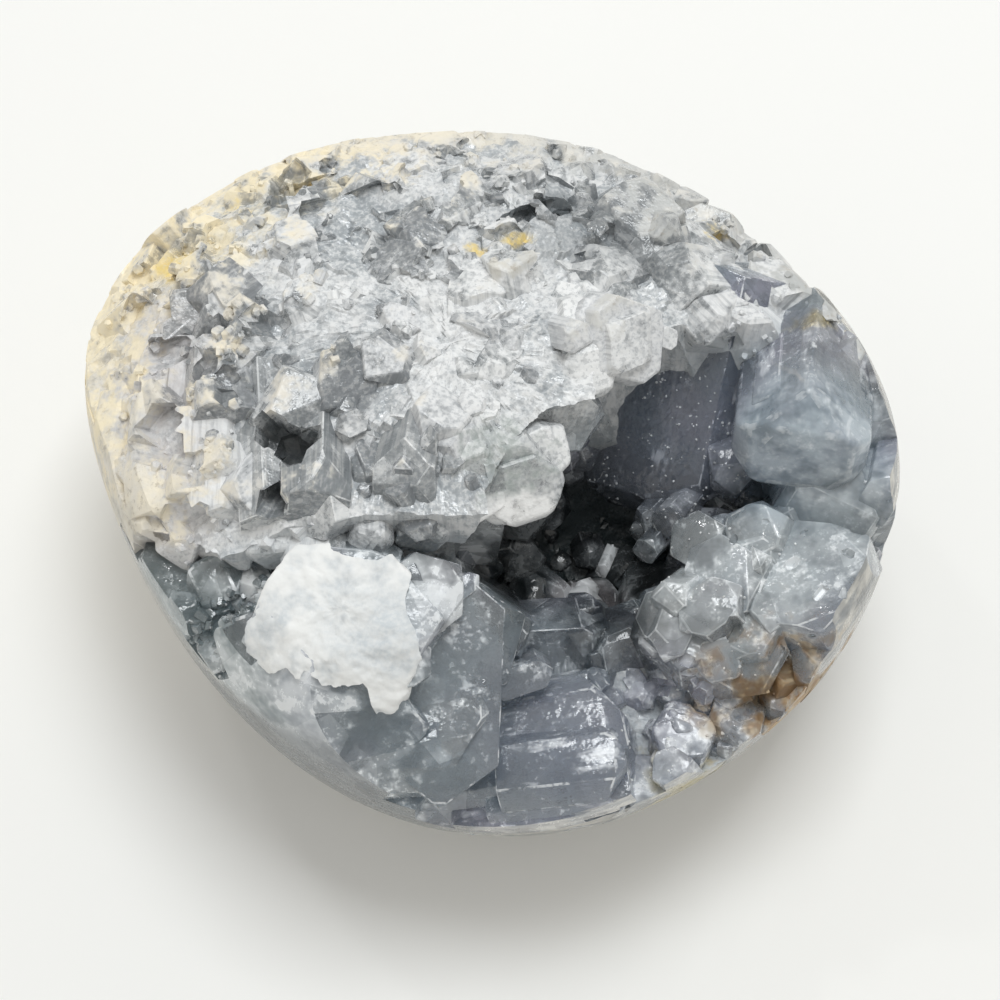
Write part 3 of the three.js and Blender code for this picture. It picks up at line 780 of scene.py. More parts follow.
def frost_crust():
    """A thin white crust over the frosted block's end, ragged at its lower edge."""
    core = from_row(HOLLOW_CRYSTALS["frosted_block"], Dice(3), 1.0)
    core.cut([front_face()])
    head, axis = HOLLOW_CRYSTALS["frosted_block"][0], core.axis
    centre = np.array(head) - np.array(axis) * 9

    def shape(units):
        facing = np.maximum(units @ core.normals.T, 0) / (core.distances - core.normals @ centre)
        out = (facing**34).sum(1) ** (-1 / 34)
        near, far = np.zeros(len(units)), np.full(len(units), 60.0)
        for _ in range(24):
            half = (near + far) / 2
            inside = stone_depth(centre + units * half[:, None]) < 1
            near, far = np.where(inside, half, near), np.where(inside, far, half)
        out = (out**-16.0 + (near - 0.3) ** -16.0) ** (-1 / 16)
        places = centre + units * out[:, None]
        lump = lambda p: 0.8 + 0.4 * fractal(p / 3.6, 1, 2) + 0.22 * fractal(p / 0.9, 1, 3)
        return places + units * np.array([lump(Vector(p)) for p in places])[:, None]

    blanket = body(plain_part(*grid_ball(shape, *CRUST_GRID), 1.0, 0.7))
    height = lambda x, y: head[2] - (axis.x * (x - head[0]) + axis.y * (y - head[1])) / axis.z
    low = lambda x, y: height(x, y) - crust_drop(x, y)
    keep = body_above(low, 60, np.arange(-34, 2, 0.5), np.arange(-41, -12, 0.5))
    boolean(blanket, body(keep), "INTERSECT")
    return blanket


def ledge_frost(point):
    """Where the ledge is white: in patches, most of all along its ridge."""
    white = 0.5 + 0.6 * fractal(Vector(point) / 10, 1, 2)
    for away, amount in patches_at(LEDGE_PATCHES, point[0], point[1]):
        white += amount * max(0, 1 - away * away)
    return min(max(white, 0.0), 1.0)


def on_ledge(foot):
    free = not hollowed(foot) and not inside_bowl(WEST_GAP, foot, 1.0)
    return foot.z > WAIST_HEIGHT - 1 and depth_at(foot) < 1.0 and free


def in_hollow(bowl):
    others = [other for other in BOWLS if other is not bowl]

    def keep(foot):
        if foot.z > min(bowl[4] + 4, 42) or depth_at(foot) > 0.99:
            return False
        return not any(inside_bowl(other, foot, 1.0) for other in others) and not near_large(foot, 0.3)

    return keep


def surface_places(ob, count, dice, keep):
    """Places on a mesh, spread by area, with the normal and frost there."""
    mesh = ob.data
    mesh.calc_loop_triangles()
    corners = np.empty(len(mesh.vertices) * 3, np.float32)
    mesh.vertices.foreach_get("co", corners)
    corners = corners.reshape(-1, 3).astype(float)
    index = np.empty(len(mesh.loop_triangles) * 3, np.int32)
    mesh.loop_triangles.foreach_get("vertices", index)
    index = index.reshape(-1, 3)
    a, b, c = corners[index[:, 0]], corners[index[:, 1]], corners[index[:, 2]]
    normals = np.cross(b - a, c - a)
    area = np.linalg.norm(normals, axis=1)
    usable = keep((a + b + c) / 3, normals / np.maximum(area, 1e-12)[:, None])
    share = np.cumsum(np.where(usable, area, 0))
    for _ in range(count):
        i = int(np.searchsorted(share, dice() * share[-1]))
        u, v = dice(), dice()
        if u + v > 1:
            u, v = 1 - u, 1 - v
        yield Vector(a[i] + (b[i] - a[i]) * u + (c[i] - a[i]) * v), Vector(normals[i]).normalized()


def outside_dome(points, normals):
    centre, radii = np.array(DOME[0]), np.array(DOME[1])
    above = np.linalg.norm((points - centre) / radii, axis=1) > 0.985
    above &= (points[:, 2] > WAIST_HEIGHT) & (points[:, 2] < 52)
    return above & (stone_depth(points) < 0.93) & (normals[:, 2] > -0.3)


def rough_ledge(points, normals):
    """Parts of the ledge that small crystals cover, in patches and away from its smooth crystals."""
    keep = outside_dome(points, normals)
    for i in np.where(keep)[0]:
        point = Vector(points[i])
        keep[i] = fractal(point / 7, 1, 2) > -0.12 and not near_large(point, 0.75, 0.7, SMOOTH_CRYSTALS)
    return keep


def in_room(points, normals):
    """Above the bowls' walls."""
    room = np.zeros(len(points), bool)
    for centre, radii, *_ in BOWLS[:4]:
        room |= np.linalg.norm((points - np.array(centre)) / np.array(radii), axis=1) < 0.97
    prism = (points[:, 0] > 29) & (points[:, 1] > -10)
    return room & ~prism & (stone_depth(points) < 0.97) & (normals[:, 2] > -0.2)


def in_cluster(points, normals):
    """The eastern cluster and the stubs at the rim."""
    return in_room(points, normals) & (points[:, 0] > 14) & (points[:, 1] < -5) & (points[:, 1] > -36)


def in_west(points, normals):
    """The crystals under the ledge's western shelf, and the front ones."""
    return in_room(points, normals) & (points[:, 0] < -24) & (points[:, 2] < 42)


def overgrowth(ob, count, size, dice, keep, look):
    """Small crystals that have grown on the large ones' faces."""
    for place, normal in surface_places(ob, count, dice, keep):
        width = size * math.exp(dice.between(-0.6, 0.6))
        axis = (normal + drift(place) * 0.5 + random_vector(dice) * 0.5).normalized()
        rise = width * dice.between(0.15, 0.6)
        yield small_crystal(place, axis, width, rise, width * 0.5, dice, None, look(place, dice), 1, 0)


def bites(ob, count, size, dice, keep, look):
    """Bodies to break out of a surface, each sunk a little into it."""
    for place, normal in surface_places(ob, count, dice, keep):
        width = size * math.exp(dice.between(-0.5, 0.5))
        axis = (normal * -0.8 + drift(place) * 0.5 + random_vector(dice) * 0.5).normalized()
        sunk = width * dice.between(0.15, 0.4)
        lump = (width, width * dice.between(0.5, 1), width * 1.6)
        roll, flat = dice.between(0, 180), dice.between(0.1, 0.9)
        yield Crystal(place + axis * sunk, axis, roll, lump, flat, dice, look(place, dice), 2, width * 0.2, 0)


def on_dark_face(points, normals):
    near = np.linalg.norm((points - np.array([23.0, 4.0, 30.0])) / np.array([11.0, 11.0, 12.0]), axis=1) < 1
    return near & (normals[:, 2] > 0.15) & (normals[:, 1] < 0.3)


def sparkling(points, normals):
    """Where fine white grit lies on the hollow's crystals."""
    keep = in_room(points, normals) & ((points[:, 0] > 12) | (points[:, 0] < -24)) & (points[:, 2] > 28)
    for i in np.where(keep)[0]:
        keep[i] = fractal(Vector(points[i]) / 4, 1, 2) > 0.1
    return keep


def grit(ob, count, size, dice, keep):
    """Tiny bright crystals scattered over part of a mesh."""
    for place, normal in surface_places(ob, count, dice, keep):
        width = size * math.exp(dice.between(-0.6, 0.6))
        axis = (normal + random_vector(dice) * 0.6).normalized()
        spare = Dice(int(width * 1e5))
        lump = (width, width * 0.7, width * 2)
        yield Crystal(place + axis * width * 0.5, axis, dice.between(0, 180), lump, 0.5, spare, 0.85, 0, 0, 0)


def changed(ob, crystals, operation):
    """The mesh with many bodies added or taken away, those that don't touch in one operation."""
    boolean(ob, joined([crystal.part() for crystal in crystals]), operation)


def finished(ob, name, node):
    """A piece in metres, in the part's frame, declared to the frame."""
    ob.name = ob.data.name = name
    mesh = ob.data
    places = np.empty(len(mesh.vertices) * 3, np.float32)
    mesh.vertices.foreach_get("co", places)
    depth = stone_depth(places.reshape(-1, 3))
    values_of(mesh, "depth", "POINT", depth)
    lowest = np.array([min(depth[v] for v in p.vertices) for p in mesh.polygons])
    values_of(mesh, "ground", "FACE", lowest > GROUND_DEPTH)
    mesh.transform(Matrix.Scale(0.001, 4) @ Matrix.Translation(-MIDDLE))
    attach(ob, "root")
    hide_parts(node)
    print(name, "triangles", sum(len(p.vertices) - 2 for p in mesh.polygons))
    return ob


mixed_frost = lambda place, dice: min(1, max(0, ledge_frost(place) + dice.between(-0.2, 0.3)))
dice = Dice(41)
ledge_shapes = [s for name, c in LEDGE_CRYSTALS.items() for s in with_companions(name, c, dice, 6)]
ledge_shapes += list(ledge_top(Dice(7)))
ledge_shapes += [from_row(row, dice, min(ledge_frost(row[0]) + 0.3, 1), 6, 1.8, 0.45) for row in RIM_CRYSTALS]
ledge_shapes += [from_row(row, dice, 0.75, 2, 0.8, wear) for *row, wear in TIP_LUMPS]
ledge_shapes += list(druse(DOME, 4.4, 5.5, Dice(101), on_ledge, ledge_frost, (0.05, 0.4), 0.35, 0.9))
ledge_shapes += list(druse(DOME, 2.6, 2.6, Dice(102), on_ledge, ledge_frost, (0.3, 0.8), 0.5, 0.8, wear=0))
ledge = joined([shape.part() for shape in ledge_shapes])
changed(ledge, bites(ledge, 180, 4.0, Dice(103), rough_ledge, mixed_frost), "DIFFERENCE")
changed(ledge, overgrowth(ledge, 520, 1.0, Dice(104), rough_ledge, mixed_frost), "UNION")
boolean(ledge, joined(dents()), "DIFFERENCE")
ground_flush(ledge)
finished(ledge, "ledge_crystals", "geode_wall")

hollow_shapes = []
for name, crystal in HOLLOW_CRYSTALS.items():
    grown = list(with_companions(name, crystal, dice, COMPANIONS.get(name, 8), hollowed))
    if name in ("frosted_block", "front_block"):
        for shape in grown:
            shape.cut([front_face()])
    hollow_shapes += grown
lining_dice = Dice(23)
for bowl in BOWLS:
    hollow_shapes += list(lining(bowl, lining_dice))
for number, bowl in enumerate(BOWLS[:4]):
    hollow_shapes += list(druse(bowl, 4.0, 5.0, Dice(200 + number), in_hollow(bowl), lambda foot: 0.3))
hollow_shapes += [from_row(row, dice, frost, 2, 0.5, wear) for *row, frost, wear in CLEAR_CRYSTALS]
hollow = joined([shape.part() for shape in hollow_shapes])
any_frost = lambda low: lambda place, dice: dice.between(low, 0.7)
changed(hollow, bites(hollow, 30, 1.8, Dice(105), in_cluster, any_frost(0.1)), "DIFFERENCE")
changed(hollow, grit(hollow, 200, 0.2, Dice(107), on_dark_face), "UNION")
changed(hollow, overgrowth(hollow, 90, 0.9, Dice(106), in_west, any_frost(0.2)), "UNION")
ground_flush(hollow)
changed(hollow, grit(hollow, 130, 0.26, Dice(109), sparkling), "UNION")
boolean(hollow, frost_crust(), "UNION")
finished(hollow, "hollow_crystals", "crystal_crust")
wall = finished(stone_wall(), "stone_wall", "geode_wall")

for ob in (ledge, hollow):
    ob.data.shade_flat()
crusty = [value.value > 0.95 for value in hollow.data.attributes["frost"].data]
hollow.data.polygons.foreach_set("use_smooth", crusty)
hollow.data.set_sharp_from_angle(angle=CRUST_SHARP)
wall.data.shade_smooth()
wall.data.set_sharp_from_angle(angle=WALL_SHARP)


class Tree:
    """Short calls that add nodes to one material."""

    def __init__(self, name):
        self.material = bpy.data.materials.new(name)
        self.material.use_nodes = True
        self.nodes = self.material.node_tree.nodes
        self.links = self.material.node_tree.links
        self.shader = self.nodes["Principled BSDF"]
        self.output = self.nodes["Material Output"]
        where = self.nodes.new("ShaderNodeTexCoord").outputs["Object"]
        self.mm = self.vector("SCALE", where, scale=1000)

    def put(self, socket, value):
        if isinstance(value, bpy.types.NodeSocket):
            self.links.new(value, socket)
        elif value is not None:
            socket.default_value = value

    def vector(self, operation, *values, scale=None):
        node = self.nodes.new("ShaderNodeVectorMath")
        node.operation = operation
        for socket, value in zip(node.inputs, values):
            self.put(socket, value)
        if scale is not None:
            self.put(node.inputs["Scale"], scale)
        return node.outputs["Value" if operation in ("LENGTH", "DOT_PRODUCT") else "Vector"]

    def towards(self, x, y, z):
        """How far a place lies along a direction."""
        return self.vector("DOT_PRODUCT", self.mm, (x, y, z))

    def math(self, operation, a, b=None):
        node = self.nodes.new("ShaderNodeMath")
        node.operation = operation
        self.put(node.inputs[0], a)
        self.put(node.inputs[1], b)
        return node.outputs[0]

    def chain(self, operation, total, *others):
        for other in others:
            total = self.math(operation, total, other)
        return total

    def add(self, *values):
        return self.chain("ADD", *values)

    def times(self, *values):
        return self.chain("MULTIPLY", *values)

    def largest(self, *values):
        return self.chain("MAXIMUM", *values)

    def rest(self, share):
        return self.math("SUBTRACT", 1, share)

    def ramp(self, value, low, high, to_low=0.0, to_high=1.0, smooth=True):
        node = self.nodes.new("ShaderNodeMapRange")
        node.interpolation_type = "SMOOTHSTEP" if smooth else "LINEAR"
        for socket, v in zip(node.inputs, (value, low, high, to_low, to_high)):
            self.put(socket, v)
        return node.outputs[0]

    def attribute(self, name, output="Fac"):
        node = self.nodes.new("ShaderNodeAttribute")
        node.attribute_name = name
        return node.outputs[output]

    def drawn_out(self, share):
        """Places moved together along each crystal's own axis, so that noise there runs along it."""
        axis = self.attribute("axis", "Vector")
        along = self.times(self.vector("DOT_PRODUCT", self.mm, axis), share)
        return self.vector("SUBTRACT", self.mm, self.vector("SCALE", axis, scale=along))

    def noise(self, size, detail, rough, place=None, shift=None):
        """Noise whose features are about size millimetres wide, from 0 to 1."""
        node = self.nodes.new("ShaderNodeTexNoise")
        place = place or self.mm
        self.put(node.inputs["Vector"], self.vector("ADD", place, shift) if shift else place)
        for name, value in (("Scale", 1 / size), ("Detail", detail), ("Roughness", rough)):
            node.inputs[name].default_value = value
        return node.outputs["Fac"]

    def shards(self, size):
        """A value of its own, from 0 to 1, for each cell about size millimetres wide."""
        node = self.nodes.new("ShaderNodeTexVoronoi")
        self.put(node.inputs["Vector"], self.mm)
        node.inputs["Scale"].default_value = 1 / size
        return self.vector("DOT_PRODUCT", node.outputs["Color"], (0.5, 0.5, 0))

    def mix(self, share, a, b, kind="RGBA"):
        node = self.nodes.new("ShaderNodeMix")
        node.data_type = kind
        for name, value in (("Factor", share), ("A", a), ("B", b)):
            self.put(node.inputs[name], colour(value) if isinstance(value, tuple) else value)
        return node.outputs["Result"]

    def paint(self, body, *coats):
        """Coats over a colour. Each is a colour and the shares whose product is how much it covers."""
        for coat, *shares in coats:
            body = self.mix(self.times(*shares), body, coat)
        return body

    def spot(self, centre, radii, edge=0.35, wobble=None):
        """1 inside an ellipsoid, 0 outside, over a soft edge that wobble makes ragged."""
        shift = tuple((m - c) / r for c, m, r in zip(centre, MIDDLE, radii))
        away = self.vector("MULTIPLY_ADD", self.mm, tuple(1 / r for r in radii), shift)
        length = self.vector("LENGTH", away)
        if wobble is not None:
            length = self.add(length, wobble)
        return self.ramp(length, 1 + edge, 1 - edge)

    def bump(self, *layers):
        """Bumps on top of each other. A layer is (height, depth in millimetres, strength)."""
        before = None
        for height, depth, strength in layers:
            node = self.nodes.new("ShaderNodeBump")
            self.put(node.inputs["Height"], height)
            self.put(node.inputs["Distance"], self.math("DIVIDE", depth, 1000))
            node.inputs["Strength"].default_value = strength
            self.put(node.inputs["Normal"], before)
            before = node.outputs[0]
        return before

    def done(self, **values):
        for name, value in values.items():
            self.put(self.shader.inputs[name.replace("_", " ")], value)
        return self.material

    def absorb(self, tint, density):
        node = self.nodes.new("ShaderNodeVolumeAbsorption")
        node.inputs["Color"].default_value = colour(tint)
        node.inputs["Density"].default_value = density
        self.links.new(node.outputs[0], self.output.inputs["Volume"])


def colour(rgb):
    """A colour given as it looks on screen, from 0 to 255."""
    to_light = lambda c: c / 12.92 if c <= 0.04045 else ((c + 0.055) / 1.055) ** 2.4
    return (*(to_light(v / 255) for v in rgb), 1)


def hollow_material():
    """Clear blue-grey crystals with milky clouds, white where chipped, and the powdery crust, with painted
    shade far down in the hollow, in the pocket under the ledge, along the cleft under the western shelf and
    low on the south-west side of the ground outside.
    """
    t = Tree("clear_celestite")
    tint, frost, edge, sector, ground = map(t.attribute, ("tint", "frost", "edge", "sector", "ground"))
    streaked = t.vector("ADD", t.drawn_out(0.72), t.vector("SCALE", (31, 17, 53), scale=tint))
    clouds = t.noise(5, 3, 0.62)
    streaks = t.noise(2.6, 3, 0.72, streaked)
    fine = t.noise(0.6, 2, 0.6)
    speck = t.noise(0.9, 3, 0.75, shift=(4, 4, 7))
    shard = t.shards(4.5)
    ragged = t.ramp(clouds, 0.3, 0.7, 0.6, -0.6)

    # Places that look different, and the painted shade far down in the hollow, in the pocket under the ledge
    # and along the cleft under the shelf
    pale = t.spot((37, -2, 40), (12, 10, 12), 0.3)
    calm = t.largest(t.times(pale, 0.4), t.times(t.spot((-38, -18, 33), (9, 9, 9), 0.4), 0.6))
    bright = t.largest(
        t.spot((27, -18, 36), (13, 9, 9), 0.3), t.times(t.spot((42, -10, 32), (9, 9, 12), 0.3), 0.8)
    )
    # painted shadow along the cleft under the ledge's western shelf
    crevice_shade = t.times(
        t.ramp(t.add(t.towards(0.16, 1, 0), 16.6), -4.6, -1), t.ramp(t.towards(1, 0, 0), -4, -9)
    )
    pink = t.spot((12.4, -12.6, 21), (5, 5, 5), 0.3)
    # painted shade far down in the hollow, where the crystals lie in shadow
    deep_shade = t.largest(
        t.times(t.spot((9, -6, 18), (20, 13, 16), 0.4), t.rest(t.times(pink, 0.6))),
        t.spot((30, -3, 26), (7, 6, 7), 0.4),
        t.times(t.spot((15, -19, 27), (8, 5, 8), 0.5), 0.85),
        t.times(t.spot((2, -15, 30), (5, 6, 8), 0.4), 0.8),
    )
    # painted shade in the pocket under the ledge, round the steep face there
    pocket_shade = t.spot((22, 8, 34), (13, 13, 14), 0.3)
    # how far a place lies out of the painted shade above; the white and the grains fade within it
    shaded = t.rest(t.largest(deep_shade, t.times(pocket_shade, 0.8), t.times(crevice_shade, 0.9)))
    rusty = t.times(t.spot((35.5, -26, 27), (9, 6, 8), 0.5, ragged), t.ramp(clouds, 0.35, 0.6, 0.5, 0.95))

    # How milky the crystals are, and where they are chipped or powdered
    milk = t.add(
        t.times(frost, t.ramp(clouds, 0.34, 0.6, 0.25, 1.3)),
        t.times(t.ramp(streaks, 0.5, 0.66), t.ramp(clouds, 0.42, 0.6), 0.5),
        t.ramp(sector, 0.5, 1, 0, 0.16),
        t.times(t.ramp(speck, 0.54, 0.68), t.ramp(clouds, 0.4, 0.6), 0.35),
        t.ramp(shard, 0.5, 0.9, 0, 0.14),
    )
    milk = t.times(t.ramp(milk, 0.05, 0.9, 0, 1, False), t.rest(calm))
    chipped = t.times(
        edge, t.ramp(t.noise(2.2, 3, 0.68), 0.47, 0.64, t.ramp(bright, 0, 1, 0.05, 0.4), 0.95),
        t.ramp(pale, 0, 1, 1, 0.5),
    )
    white = t.times(t.largest(t.times(milk, 0.9), chipped), t.ramp(shaded, 0, 1, 0.22, 1))
    powder = t.ramp(frost, 0.94, 0.98)
    grains = t.times(t.ramp(frost, 0.7, 0.85), t.rest(powder), t.ramp(shaded, 0, 1, 0.6, 1))
    thin = t.largest(
        t.ramp(t.noise(5, 3, 0.6, shift=(3, 8, 0)), 0.46, 0.7),
        t.times(t.spot((-11.5, -26.5, 46), (6.5, 4.5, 6), 0.5), t.ramp(clouds, 0.35, 0.55, 0.3, 1)),
    )
    crust = t.mix(t.times(thin, t.ramp(fine, 0.3, 0.7, 0.5, 1)), (235, 236, 235), (204, 210, 214))

    # The ground outside, its painted shade low on the south-west side, and the white line within the blue
    # prism
    bands = t.noise(2.4, 3, 0.6, t.vector("MULTIPLY", t.mm, (0.4, 0.4, 1.8)))
    banded = t.mix(t.ramp(bands, 0.4, 0.6), (146, 148, 146), (216, 212, 202))
    low = t.ramp(t.towards(0, 0, 1), 35, 31)
    east = t.largest(t.ramp(t.towards(1, 0.1, 0), 28, 41, 0, 0.9), t.times(low, 0.6))
    # painted shade low on the south-west side of the ground outside
    flank_shade = t.times(ground, t.ramp(t.towards(0.3, -0.3, -1), -35, -30), t.ramp(t.towards(1, 0, 0), 2, -8))
    across = t.add(t.towards(0.876, 0.48, 0), -33.4, t.ramp(clouds, 0.3, 0.7, -0.4, 0.4))
    along = t.add(t.towards(-0.48, 0.876, 0), 11.6)
    flaw = t.times(
        t.ramp(t.math("ABSOLUTE", across), 0.45, 0.1), t.ramp(t.math("ABSOLUTE", along), 4, 2.5), pale
    )

    body = t.paint(
        t.mix(t.ramp(t.noise(14, 2, 0.5), 0.38, 0.62), (194, 211, 224), (212, 210, 231)),
        ((230, 235, 236), t.ramp(tint, 0, 1, 0, 0.7)),
        ((138, 152, 162), t.ramp(sector, 0, 0.55, 0.5, 0)),
        ((140, 152, 160), t.ramp(shard, 0.1, 0.5, 0.35, 0)),
        ((128, 140, 150), t.ramp(speck, 0.3, 0.46, 0.35, 0)),
        (t.mix(t.ramp(clouds, 0.35, 0.65), (176, 194, 208), (206, 220, 230)), pale, 0.75),
        ((222, 228, 229), bright, 0.6),
        ((172, 186, 194), t.spot((-21, -34, 38), (13, 10, 10), 0.4), 0.5),
        ((196, 200, 222), t.spot((14, -33, 31), (17, 10, 9), 0.4), 0.45),
        ((140, 156, 156), t.spot((-32, -22, 34), (15, 14, 14), 0.4), 0.75),
        # painted shadow along the cleft under the shelf
        ((60, 66, 66), crevice_shade, 0.9),
        ((206, 190, 192), pink, 0.7),
        # painted shade far down in the hollow
        ((40, 49, 51), deep_shade, 0.94),
        # painted shade in the pocket under the ledge
        ((162, 168, 184), pocket_shade, 0.75),
        ((238, 241, 243), white),
        ((246, 248, 249), grains, 0.8),
        (crust, powder),
        (banded, ground, east),
        # painted shade low on the south-west side
        ((104, 110, 114), flank_shade, 0.75),
        (t.mix(t.ramp(streaks, 0.4, 0.6), (160, 122, 72), (190, 168, 132)), rusty),
        ((186, 172, 112), t.spot((22.5, -36.5, 22), (6, 4, 5), 0.5, ragged), 0.6),
        ((246, 248, 250), flaw, 0.85),
        ((240, 218, 150), t.spot((38.4, 14.0, 41), (2.6, 1.6, 4), 0.5, ragged), 0.7),
    )
    cloudy = t.largest(pale, t.times(bright, 0.6))
    clear = t.times(
        t.ramp(milk, 0, 1, 0.8, 0.15), t.ramp(chipped, 0, 1, 1, 0.4),
        t.ramp(powder, 0, 1, 1, t.times(thin, 0.35)), t.ramp(ground, 0, 1, 1, 0.6),
        t.mix(cloudy, 1, t.ramp(clouds, 0.36, 0.64, 0.82, 0.5), "FLOAT"),
    )
    rough = t.largest(
        t.ramp(fine, 0.35, 0.75, 0.03, 0.2), t.times(milk, 0.35), t.times(powder, 0.8), t.times(rusty, 0.6)
    )
    bump = t.bump(
        (t.noise(3.2, 3, 0.6), 0.5, 0.6), (t.noise(2.6, 2, 0.72, streaked), 0.22, 0.5),
        (t.noise(*GRAIN, t.drawn_out(GRAIN_STRETCH)), 0.07, 0.5),
    )
    t.absorb((168, 190, 204), 40)
    return t.done(Base_Color=body, Roughness=rough, IOR=CELESTINE_IOR, Transmission_Weight=clear, Normal=bump)


def massive_material(name, clearness):
    """The ledge and the wall: frosted where broken, cream with stain marks where ground, and painted shade in
    the ledge's holes and dips, along the cleft under the shelf, far down in the hollow and low on the
    south-west side of the ground.
    """
    t = Tree(name)
    tint, frost, edge, sector, large, depth, ground = map(
        t.attribute, ("tint", "frost", "edge", "sector", "large", "depth", "ground")
    )
    broad = t.ramp(t.noise(12, 3, 0.55, shift=(7, 3, 1)), 0.4, 0.62)
    clouds = t.noise(3.6, 3, 0.7)
    sugar = t.noise(1.3, 3, 0.72, shift=(2, 5, 9))
    speckle = t.noise(1.1, 3, 0.75)
    grain = t.noise(*GRAIN, t.drawn_out(GRAIN_STRETCH))
    height = t.towards(0, 0, 1)
    ragged = lambda amount: t.ramp(clouds, 0.3, 0.7, amount, -amount)
    ragged_wobble = ragged(0.6)

    # How frosted it is
    pale_sides = t.largest(
        t.spot((36, 16, 42), (13, 10, 9), 0.3), t.spot((-40, -4, 38), (14, 16, 12), 0.3),
        t.spot((16.5, 7.5, 50), (8, 8, 6), 0.3),
    )
    uneven = t.add(
        t.ramp(clouds, 0.32, 0.68, -0.38, 0.38, False), t.ramp(sugar, 0.35, 0.65, -0.22, 0.28, False)
    )
    milk = t.add(
        t.times(frost, 0.9), t.times(uneven, t.ramp(large, 0, 1, 1, 0.6)),
        t.times(edge, t.ramp(large, 0, 1, 0.1, 0.5), t.ramp(clouds, 0.42, 0.6)),
        t.ramp(sector, 0, 1, -0.2, 0.25), t.ramp(t.shards(2.6), 0.2, 0.8, -0.15, 0.15, False),
        t.times(pale_sides, 0.3),
    )
    milk = t.ramp(milk, -0.2, 1.15)

    # The broken ground
    # painted shade in the ledge's holes and in three dips of its plateau
    holes = t.largest(
        t.spot((-22.8, -4.4, 43.6), (4.4, 3.6, 3.2), 0.3, ragged(0.3)),
        t.spot((8.3, 28.6, 43), (3.6, 3.2, 3.6), 0.3),
        *(
            t.times(t.spot(centre, radii, 0.6, ragged_wobble), amount)
            for centre, radii, amount in (
                ((-29, 2.5, 44), (8, 3.5, 4), 0.6), ((-20, 0.5, 46), (7, 3.0, 3), 0.6),
                ((13, 23, 46), (9, 4.5, 5), 0.5),
            )
        ),
    )
    hollow = t.largest(
        t.spot((-38, -20, 28), (16, 9, 9), 0.2),
        *(t.spot(centre, radii, 0.12) for centre, radii, *_ in BOWLS[:4]),
    )
    # painted shadow along the cleft under the western shelf
    crevice_shade = t.times(
        t.ramp(t.math("ABSOLUTE", t.add(t.towards(0.16, 1, 0), 17.5)), 4.5, 2),
        t.ramp(t.towards(0.12, 0, -1), -42, -38.5), t.ramp(t.towards(1, 0, 0), -2, -8),
    )
    broken = t.paint(
        t.mix(milk, (170, 176, 180), (240, 241, 241)),
        ((168, 171, 177), t.ramp(tint, 0.2, 1, 0, 0.35)),
        ((238, 238, 237), t.ramp(grain, 0.5, 0.62), 0.45),
        ((140, 144, 148), t.ramp(grain, 0.5, 0.38), 0.35),
        (
            (146, 156, 152), t.spot((2.2, -6.4, 47.5), (5, 4.5, 6), 0.3, ragged(0.4)),
            t.ramp(sugar, 0.4, 0.6, 0.3, 0.7),
        ),
        # painted shade in the holes and dips
        ((124, 130, 134), holes, 0.8),
        ((190, 198, 204), hollow, t.ramp(height, 46, 40), t.ramp(speckle, 0.4, 0.6, 0.75, 1)),
        ((252, 252, 251), t.spot((3.4, -11.6, 43.4), (7, 2.6, 3.4), 0.3, ragged(0.3)), 0.9),
        # painted shade far down in the hollow
        ((50, 58, 60), t.spot((11, -5, 16), (19, 14, 18), 0.4)),
        # painted shadow along the cleft under the shelf
        ((66, 70, 70), crevice_shade, 0.85),
        ((208, 202, 201), t.spot((-42, 2, 38), (12, 24, 14), 0.4), t.ramp(clouds, 0.4, 0.6, 0.25, 0.6)),
    )

    # The ground outside
    bands = t.noise(3.4, 3, 0.6, t.vector("MULTIPLY", t.mm, (0.5, 0.5, 1.6)))
    side = t.largest(t.ramp(t.towards(-0.45, 0.8, 0.2), -6, 30), t.ramp(height, 36, 41))
    cream = t.mix(
        t.ramp(t.towards(1, 0, 0), -14, 14), t.mix(broad, (238, 229, 208), (222, 217, 206)),
        t.mix(broad, (212, 212, 209), (186, 188, 187)),
    )
    cream = t.paint(
        t.mix(t.ramp(bands, 0.35, 0.65), (136, 138, 137), (184, 182, 176)),
        (cream, side, t.ramp(clouds, 0.3, 0.6, 0.55, 1)),
        ((228, 224, 216), t.ramp(t.noise(4.5, 3, 0.66), 0.44, 0.7, 0, 0.75)),
        ((160, 150, 134), t.ramp(speckle, 0.56, 0.68), 0.5),
    )
    near_rim = t.ramp(t.add(depth, t.ramp(clouds, 0.3, 0.7, -0.12, 0.12)), 0.8, 0.98)
    rim = t.largest(ground, t.times(side, near_rim))

